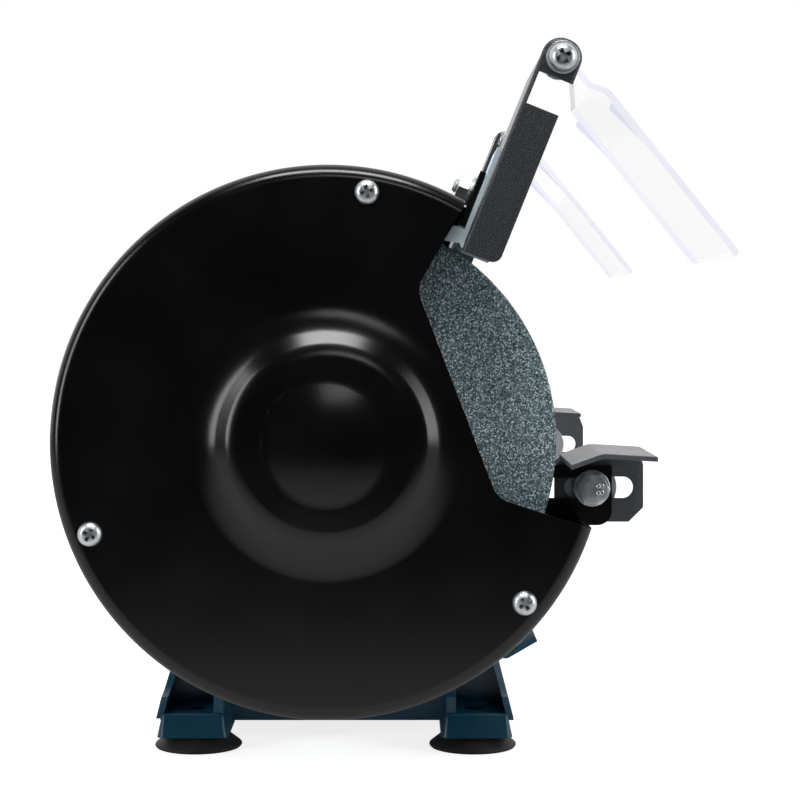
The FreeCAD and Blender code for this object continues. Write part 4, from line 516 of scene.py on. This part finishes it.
paper, tree, shader, place = new_material("blotter_paper", Roughness=0.9)
fibres = use_group(tree, paint_skin, place, Scale=1400.0)
colour = blend_colours(tree, fibres["Height"], (0.4, 0.3, 0.2, 1), (0.66, 0.54, 0.4, 1))
tree.links.new(colour, shader.inputs["Base Color"])
add_bump(tree, shader, fibres["Height"], 0.3, 0.0002)
WHEEL_X, WHEEL_RADIUS, WHEEL_HALF, WHEEL_BORE = 133, 75, 8, 6.4
disc = turned([
    (-WHEEL_HALF, WHEEL_BORE), (-WHEEL_HALF, WHEEL_RADIUS, 0.9),
    (WHEEL_HALF, WHEEL_RADIUS, 0.9), (WHEEL_HALF, WHEEL_BORE),
], steps=256, closed=True)
for side in ("left", "right"):
    make_piece(
        f"{side}_stone", moved(disc, outboard(side, WHEEL_X)), "rotor", "abrasive", grit, f"{side}_wheel",
    )
    dress(steel, f"{side}_inner_flange", f"{side}_outer_flange")
    dress(fastener, f"{side}_wheel_nut")
dress(paper, "wheel_blotters")


# Inner guards: drawn sheet pans behind the wheels, with a folded upper flange and a slotted tab.
# Each is screwed to its end bell and painted the same satin black as the cover.
satin_black = painted(
    "satin_black", (0.0012, 0.0013, 0.0017, 1), (0.0018, 0.0019, 0.0024, 1), (0.12, 0.12, 0.12, 1),
    rough=0.2, skin=1500.0, bump=0.03, wear=0.06, dust=0.012, Specular_IOR_Level=0.5,
)
for side in ("left", "right"):
    make_piece(
        f"{side}_pan", softened(f"{side}_guard", 0.25), "frame", "black_cover", satin_black, f"{side}_guard",
    )
screw = pan_screw(9, 3, 5, 12)
PAN_FACE, PAN_SCREW_CIRCLE = 114.7, 32
screws = []
for side in ("left", "right"):
    for angle in (0, 90, 180, 270):
        forward, up = around(PAN_SCREW_CIRCLE, angle)
        screws.append(moved(screw, outboard(side, PAN_FACE, forward, up, angle * 0.8 + 20)))
make_piece("pan_screws", joined(screws), "frame", "fastener", fastener, "guard_screws")


# Guard covers: pressed sheet with a stepped dome, a rolled rim and the grinding opening.
# They are painted satin black, and each is held by three screws into posts inside the rim.
COVER_WALL, COVER_RIM, COVER_DEPTH = 1.4, 90.2, 12
DOME_TOP, DOME_BALL_DIAMETER = 9.75, 138
DOME_GROOVE, DOME_SHOULDER = 6.75, 6.2


def crown(radius):
    """Height of the middle of the dome, a shallow part of a ball."""
    return DOME_TOP - radius ** 2 / DOME_BALL_DIAMETER


pressing = turned([
    (crown(0), 0), (crown(4), 4), (crown(8), 8), (crown(12), 12), (crown(16), 16), (crown(20), 20, 1.2),
    (DOME_GROOVE, 22, 1.0), (DOME_SHOULDER, 30.5, 2.6), (0, 40, 5.3), (0, COVER_RIM, 4.6),
    (-COVER_DEPTH, COVER_RIM), (-COVER_DEPTH, COVER_RIM - COVER_WALL),
    (-COVER_WALL, COVER_RIM - COVER_WALL, 3.2), (-COVER_WALL, 39.4, 5.0),
    (DOME_SHOULDER - COVER_WALL, 29.9, 2.2), (DOME_GROOVE - COVER_WALL, 22, 1.0),
    (crown(20) - COVER_WALL, 19.6), (crown(12) - COVER_WALL, 12), (crown(0) - COVER_WALL, 0),
], steps=288)
OPENING = ((28.85, 49.97), (55, 95.3), (140, 95.3), (140, -45.5), (54.88, -17.83))
tool = bmesh.new()
corners = [tool.verts.new((up * MM, -forward * MM, -20 * MM)) for forward, up in OPENING]
tool.faces.new(corners)
bmesh.ops.bevel(
    tool, geom=[corners[0], corners[4]], offset=3.4 * MM, offset_type="OFFSET", segments=6, profile=0.5,
    affect="VERTICES", material=-1,
)
sides = bmesh.ops.extrude_face_region(tool, geom=tool.faces[:])["geom"]
bmesh.ops.translate(
    tool, verts=[part for part in sides if isinstance(part, bmesh.types.BMVert)], vec=(0, 0, 50 * MM),
)
bmesh.ops.recalc_face_normals(tool, faces=tool.faces)
pressing = carve(pressing, tool)
COVER_FACE, COVER_SCREW_CIRCLE = 154, 82
COVER_SCREW_ANGLES = (81, 201, 321)
holes = []
drill = turned([(-5, 0), (-5, 2.2), (5, 2.2), (5, 0)], 32)
for angle in COVER_SCREW_ANGLES:
    forward, up = around(COVER_SCREW_CIRCLE, angle)
    holes.append(moved(drill, shift(up, -forward, 0)))
pressing = carve(pressing, joined(holes))


def mirrored(shape):
    """The same shape for the other end of the shaft."""
    copy = moved(shape, Matrix.Scale(-1, 4, (1, 0, 0)))
    bmesh.ops.reverse_faces(copy, faces=copy.faces)
    return copy


left_pressing = moved(pressing, outboard("left", COVER_FACE))
make_piece("right_dome", mirrored(left_pressing), "frame", "black_cover", satin_black, "right_cover")
make_piece("left_dome", left_pressing, "frame", "black_cover", satin_black, "left_cover")
screw = pan_screw(8, 2.6, 4, 12)
screws = []
for side in ("left", "right"):
    for angle, turn in zip(COVER_SCREW_ANGLES, (12, 64, 31)):
        forward, up = around(COVER_SCREW_CIRCLE, angle)
        screws.append(moved(screw, outboard(side, COVER_FACE, forward, up, turn)))
make_piece("dome_screws", joined(screws), "frame", "fastener", fastener, "cover_screws")
dress(steel, "cover_posts")


# Shield brackets: folded sheet with a long side flange and one hinge ear, in textured charcoal.
# A plated spark arrester lies behind each, and one slotted clamp bolt sets the height of both.
charcoal = painted(
    "charcoal", (0.017, 0.019, 0.023, 1), (0.023, 0.026, 0.031, 1), (0.3, 0.31, 0.32, 1),
    rough=0.26, skin=2800.0, bump=0.35, wear=0.04, dust=0.3, speckle=0.22,
)
for side in ("left", "right"):
    arm = softened(f"{side}_shield_bracket", 0.3, shortest=0.3)
    make_piece(f"{side}_arm", arm, f"{side}_bracket", "bracket_black", charcoal, f"{side}_shield_bracket")
    make_piece(
        f"{side}_spark_plate", softened(f"{side}_spark_arrester", 0.25), f"{side}_bracket", "zinc", zinc,
        f"{side}_spark_arrester",
    )


BRACKET_LEAN = math.radians(22)
BRACKET_FOOT_FORWARD, BRACKET_FOOT_UP, CLAMP_ALONG = 43.1, 61.9, 20.5


def on_clamp(side, out, turn=0):
    """Place a shape made along Z at the clamp bolt, pointing forward out of the leaning bracket."""
    sine, cosine = math.sin(BRACKET_LEAN), math.cos(BRACKET_LEAN)
    forward = BRACKET_FOOT_FORWARD + CLAMP_ALONG * sine + out * cosine
    up = SHAFT_Z + BRACKET_FOOT_UP + CLAMP_ALONG * cosine - out * sine
    x = -WHEEL_X if side == "left" else WHEEL_X
    tilt = Matrix.Rotation(math.pi / 2 + BRACKET_LEAN, 4, "X")
    return shift(x, -forward, up) @ tilt @ Matrix.Rotation(math.radians(turn), 4, "Z")


def ring(outside, hole, thickness, edge=0.15):
    """Washer along Z from z = 0 upwards."""
    return turned([
        (0, hole / 2), (0, outside / 2, edge), (thickness, outside / 2, edge), (thickness, hole / 2),
    ], 64, closed=True)


CLAMP_HEAD_OUT, CLAMP_RING_OUT, CLAMP_NUT_OUT = 1.55, -4.7, -8.7
clamp_head = joined([hex_block(8, 0, 3.5), turned([(-3, 0), (-3, 2.5), (0, 2.5), (0, 0)], 32)])
clamp_thread = thread(5, 0.8, -11.75, -3)
clamp_nut = hex_block(8, 0, 4, 4.6)
clamp_ring = ring(10, 5.4, 1)
bolts = []
nuts = []
for side, turn in (("left", 10), ("right", 25)):
    seat = on_clamp(side, CLAMP_HEAD_OUT, turn)
    bolts += [moved(clamp_head, seat), moved(clamp_thread, seat)]
    nuts.append(moved(clamp_ring, on_clamp(side, CLAMP_RING_OUT)))
    nuts.append(moved(clamp_nut, on_clamp(side, CLAMP_NUT_OUT, turn + 20)))
make_piece("arm_bolts", joined(bolts), "frame", "fastener", fastener, "clamp_bolts")
make_piece("arm_nuts", joined(nuts), "frame", "fastener", fastener, "clamp_nuts")


# Eye shields: clear moulded plastic, a flat pane that narrows to one hinge boss.
# A pan-head screw with washers and a nut holds the boss to the ear of the bracket.
clear, tree, shader, place = new_material(
    "clear_pane", Base_Color=(0.93, 0.935, 0.99, 1), Alpha=0.08,
    Transmission_Weight=1.0, IOR=1.06, Metallic=0.0,
)
film = shader_node(tree, "ShaderNodeTexNoise", Vector=place, Scale=60.0, Detail=5.0).outputs["Fac"]
tree.links.new(spread(tree, film, 0.45, 0.75, 0.01, 0.09), shader.inputs["Roughness"])
clear_edge, tree, shader, place = new_material(
    "clear_edge", Transmission_Weight=1.0, IOR=1.06, Metallic=0.0, Roughness=0.12, Alpha=0.5,
)
saw_marks = use_group(tree, paint_skin, place, Scale=700.0)["Tone"]
tree.links.new(
    blend_colours(tree, saw_marks, (0.5, 0.52, 0.82, 1), (0.66, 0.67, 0.9, 1)), shader.inputs["Base Color"],
)
for side in ("left", "right"):
    sheet = softened(f"{side}_eye_shield", 0.4, 3, shortest=0.6)
    pane = make_piece(f"{side}_pane", sheet, f"{side}_shield", "clear", clear, f"{side}_eye_shield")
    pane.data.materials.append(clear_edge)
    widest = max(pane.data.polygons, key=lambda face: face.area)
    for face in pane.data.polygons:
        face.material_index = int(abs(face.normal.dot(widest.normal)) < 0.9)
PIVOT_FORWARD, PIVOT_UP = 75.14, 123.05
PIVOT_HEAD_X, OUTER_RING_X, INNER_RING_X, PIVOT_NUT_X = 166, 165, 148.1, 144.1
pivot_parts = (
    (pan_screw(9, 3.2, 5, 18), PIVOT_HEAD_X, 24),
    (ring(10.6, 5.4, 1), OUTER_RING_X, 0),
    (thread(5, 0.8, -23.4, -18), PIVOT_HEAD_X, 24),
    (ring(10.6, 5.4, 1), INNER_RING_X, 0),
    (hex_block(8, 0, 4, 4.6), PIVOT_NUT_X, 15),
)
for side in ("left", "right"):
    pieces = [moved(part, outboard(side, x, PIVOT_FORWARD, PIVOT_UP, turn)) for part, x, turn in pivot_parts]
    make_piece(
        f"{side}_pivot_set", joined(pieces), f"{side}_bracket", "fastener", fastener, f"{side}_pivot_screw",
    )


# Tool rests: bent sheet tables on slotted legs, in a textured grey a little paler than the brackets as
# painted light.
# A hexagon bolt with washers and a nut clamps each leg behind the slotted tab of its guard.
# Painted light: the bracket paint made paler, standing in for light that the lamps give the rests too little
# of.
lightened_rest_grey = painted(
    "lightened_rest_grey", (0.056, 0.06, 0.068, 1), (0.07, 0.075, 0.084, 1), (0.4, 0.41, 0.42, 1),
    rough=0.3, skin=2800.0, bump=0.35, wear=0.04, dust=0.2, speckle=0.2,
)
for side in ("left", "right"):
    make_piece(
        f"{side}_table", softened(f"{side}_tool_rest", 0.3), f"{side}_rest", "bracket_black", lightened_rest_grey,
        f"{side}_tool_rest",
    )
REST_FORWARD, REST_UP = 89.1, -17.9
BOLT_SEAT_X, SMALL_RING_X, LARGE_RING_X, NUT_SEAT_X = 116.1, 114.9, 109.6, 104.6
rest_head = hex_block(10, 0, 4)
rest_face = turned([(3.6, 0), (3.6, 4.0), (3.75, 4.0), (3.75, 3.2), (4.02, 2.9), (4.02, 0)], 48)
rest_shank = turned([(-6, 0), (-6, 3), (0, 3), (0, 0)], 32)
loop = turned([(3.9, 0.3), (4.2, 0.42), (4.32, 0.6), (4.2, 0.78), (3.9, 0.9)], 24, closed=True)
dot = turned([(3.9, 0), (3.9, 0.32), (4.2, 0.24), (4.32, 0)], 16)
grade_mark = [moved(loop, shift(x, y, 0)) for x in (-1.15, 1.15) for y in (-2.9, -1.66)]
grade_mark.append(moved(dot, shift(0, -3.1, 0)))
rest_thread = thread(6, 1, -13.5, -6)
rest_nut = hex_block(10, 0, 5, 5.5)
for side, turn in (("left", 0), ("right", 17)):
    head = outboard(side, BOLT_SEAT_X, REST_FORWARD, REST_UP, turn)
    bolt = [moved(part, head) for part in (rest_head, rest_face, rest_shank, rest_thread, *grade_mark)]
    make_piece(
        f"{side}_table_bolt", joined(bolt), f"{side}_rest_clamp", "fastener", fastener, f"{side}_rest_bolt",
    )
    nut = moved(rest_nut, outboard(side, NUT_SEAT_X, REST_FORWARD, REST_UP, turn + 11))
    make_piece(f"{side}_table_nut", nut, f"{side}_rest_clamp", "fastener", fastener, f"{side}_rest_nut")
    washers = [
        moved(ring(12.5, 6.1, 1.2, 0.3), outboard(side, SMALL_RING_X, REST_FORWARD, REST_UP)),
        moved(ring(18, 6.1, 1.2, 0.3), outboard(side, LARGE_RING_X, REST_FORWARD, REST_UP)),
    ]
    make_piece(
        f"{side}_table_rings", joined(washers), f"{side}_rest_clamp", "fastener", fastener,
        f"{side}_rest_washers",
    )


# Switch: a moulded frame in the sloping front wall with a rocker that turns on two small pins.
# The rocker is red, and carries the usual bar and ring for on and off.
def moulded(name, dark, light, rough, grain):
    """Moulded plastic with a fine spark-eroded grain."""
    material, tree, shader, place = new_material(name)
    skin = use_group(tree, paint_skin, place, Scale=grain)
    tree.links.new(blend_colours(tree, skin["Tone"], dark, light), shader.inputs["Base Color"])
    tree.links.new(spread(tree, skin["Tone"], 0, 1, rough - 0.05, rough + 0.05), shader.inputs["Roughness"])
    add_bump(tree, shader, skin["Height"], 0.2, 0.0002)
    return material


black_plastic = moulded("black_plastic", (0.01, 0.01, 0.01, 1), (0.018, 0.018, 0.018, 1), 0.45, 2600.0)
red_plastic = moulded("red_plastic", (0.34, 0.012, 0.012, 1), (0.42, 0.018, 0.016, 1), 0.32, 1800.0)
pale_plastic = moulded("pale_plastic", (0.5, 0.48, 0.42, 1), (0.6, 0.58, 0.52, 1), 0.5, 1800.0)
surround = softened("switch_frame", 0.5, 3)
make_piece("switch_surround", surround, "frame", "black_plastic", black_plastic, "switch_frame")
bar_mark = bmesh.new()
bmesh.ops.create_cube(bar_mark, size=MM, matrix=Matrix.Diagonal((0.6, 2.8, 0.27, 1)))
ring_mark = turned([(-0.15, 0.95), (-0.15, 1.45), (0.12, 1.45), (0.12, 0.95)], 32, closed=True)
UPPER_FACE_Y, UPPER_FACE_Z, UPPER_FACE_LEAN = -58.4, 51.4, math.radians(68.5)
LOWER_FACE_Y, LOWER_FACE_Z, LOWER_FACE_LEAN = -61.3, 45.9, math.radians(56.4)
upper_face = shift(0, UPPER_FACE_Y, UPPER_FACE_Z) @ Matrix.Rotation(UPPER_FACE_LEAN, 4, "X")
lower_face = shift(0, LOWER_FACE_Y, LOWER_FACE_Z) @ Matrix.Rotation(LOWER_FACE_LEAN, 4, "X")
marks = [moved(bar_mark, upper_face), moved(ring_mark, lower_face)]
for mark in marks:
    for face in mark.faces:
        face.material_index = 1
rocker = make_piece(
    "rocker", joined([softened("switch_rocker", 0.4, 3), *marks]), "switch", "red_plastic", red_plastic,
    "switch_rocker",
)
rocker.data.materials.append(pale_plastic)
dress(black_plastic, "switch_body")


# Front lip: a folded strip under the switch that shields it from knocks, painted like the base.
# Its flange lies on the front wall, and two screws hold it from inside the base.
make_piece("lip", softened("front_lip", 0.35), "frame", "base_paint", base_paint, "front_lip")
dress(fastener, "front_lip_screws")


# Cord gland, capacitor and terminal block: moulded black inlet at the rear of the base,
# and the electrical pieces that stand on the bottom plate inside.
make_piece("gland", softened("cord_gland", 0.3), "frame", "black_plastic", black_plastic, "cord_gland")
dress(pale_plastic, "capacitor", "terminal_block")


# Stage: a pale floor, a soft studio of four lamps, and the camera at the photograph's angle.
# The room is white behind the machine and dark on the camera's side, as reflections show.
FLOOR_HALF_LENGTH, FLOOR_HALF_WIDTH, FLOOR_MIDDLE_X, FLOOR_Z = 1.95, 2.4, 1.35, -0.00005
FADE_NEAR, FADE_FAR = -0.55, -0.2
floor_mesh = bmesh.new()
bmesh.ops.create_grid(floor_mesh, x_segments=2, y_segments=2, size=1)
bmesh.ops.scale(floor_mesh, verts=floor_mesh.verts, vec=(FLOOR_HALF_LENGTH, FLOOR_HALF_WIDTH, 1))
bmesh.ops.translate(floor_mesh, verts=floor_mesh.verts, vec=(FLOOR_MIDDLE_X, 0, FLOOR_Z))
mesh = bpy.data.meshes.new("floor")
floor_mesh.to_mesh(mesh)
floor_mesh.free()
floor = bpy.data.objects.new("floor", mesh)
scene.collection.objects.link(floor)
floor_paint, tree, shader, place = new_material("floor_paint", Roughness=0.8)
near = shader_node(tree, "ShaderNodeSeparateXYZ", Vector=place).outputs["X"]
tree.links.new(spread(tree, near, FADE_NEAR, FADE_FAR, 0.04, 0.66), shader.inputs["Base Color"])
seen = shader_node(tree, "ShaderNodeLightPath").outputs["Is Camera Ray"]
lift = spread(tree, near, FADE_NEAR, FADE_FAR, 0.98, 0.8)
tree.links.new(multiply(tree, seen, lift), shader.inputs["Emission Strength"])
shader.inputs["Emission Color"].default_value = (1, 1, 1, 1)
floor.data.materials.append(floor_paint)

world = bpy.data.worlds.new("studio")
scene.world = world
world.use_nodes = True
tree = world.node_tree
rays = shader_node(tree, "ShaderNodeLightPath").outputs
heading = shader_node(tree, "ShaderNodeTexCoord").outputs["Generated"]
behind = shader_node(tree, "ShaderNodeSeparateXYZ", Vector=heading).outputs["X"]
room = spread(tree, behind, -0.2, 0.35, 0.03, 1.0)
light = blend_colours(tree, rays["Is Transmission Ray"], room, (1, 1, 1, 1))
light = blend_colours(tree, rays["Is Camera Ray"], light, (1, 1, 1, 1))
tree.links.new(light, tree.nodes["Background"].inputs["Color"])

LAMP_AIM = Vector((-0.1, 0, 0.12))
LAMPS = {
    "top_softbox": ((-0.5, 0.0, 0.92), 0.5, 0.26, 5.2),
    "left_softbox": ((-0.72, 0.95, 0.42), 0.3, 0.8, 4.2),
    "right_softbox": ((-0.5, -1.05, 0.45), 0.3, 0.8, 4.2),
    "front_lamp": ((-1.15, -0.1, 0.62), 0.36, 0.2, 0.6),
}
for name, (spot, width, height, power) in LAMPS.items():
    lamp = bpy.data.lights.new(name, "AREA")
    lamp.shape = "RECTANGLE"
    lamp.size = width
    lamp.size_y = height
    lamp.energy = power
    holder = bpy.data.objects.new(name, lamp)
    holder.location = spot
    aim = LAMP_AIM - Vector(spot)
    holder.rotation_euler = aim.to_track_quat("-Z", "Y").to_euler()
    scene.collection.objects.link(holder)

CAMERA_PLACE = (-0.794, -0.0235, 0.1583)
LEVEL_ALONG_X = Matrix(((0, 0, -1), (-1, 0, 0), (0, 1, 0)))
camera = bpy.data.cameras.new("camera")
camera.sensor_width = 36
camera.lens = 89.3
camera.shift_y = -0.11
viewer = bpy.data.objects.new("camera", camera)
viewer.matrix_world = Matrix.Translation(CAMERA_PLACE) @ LEVEL_ALONG_X.to_4x4()
scene.collection.objects.link(viewer)
scene.camera = viewer
scene.view_settings.view_transform = "Standard"
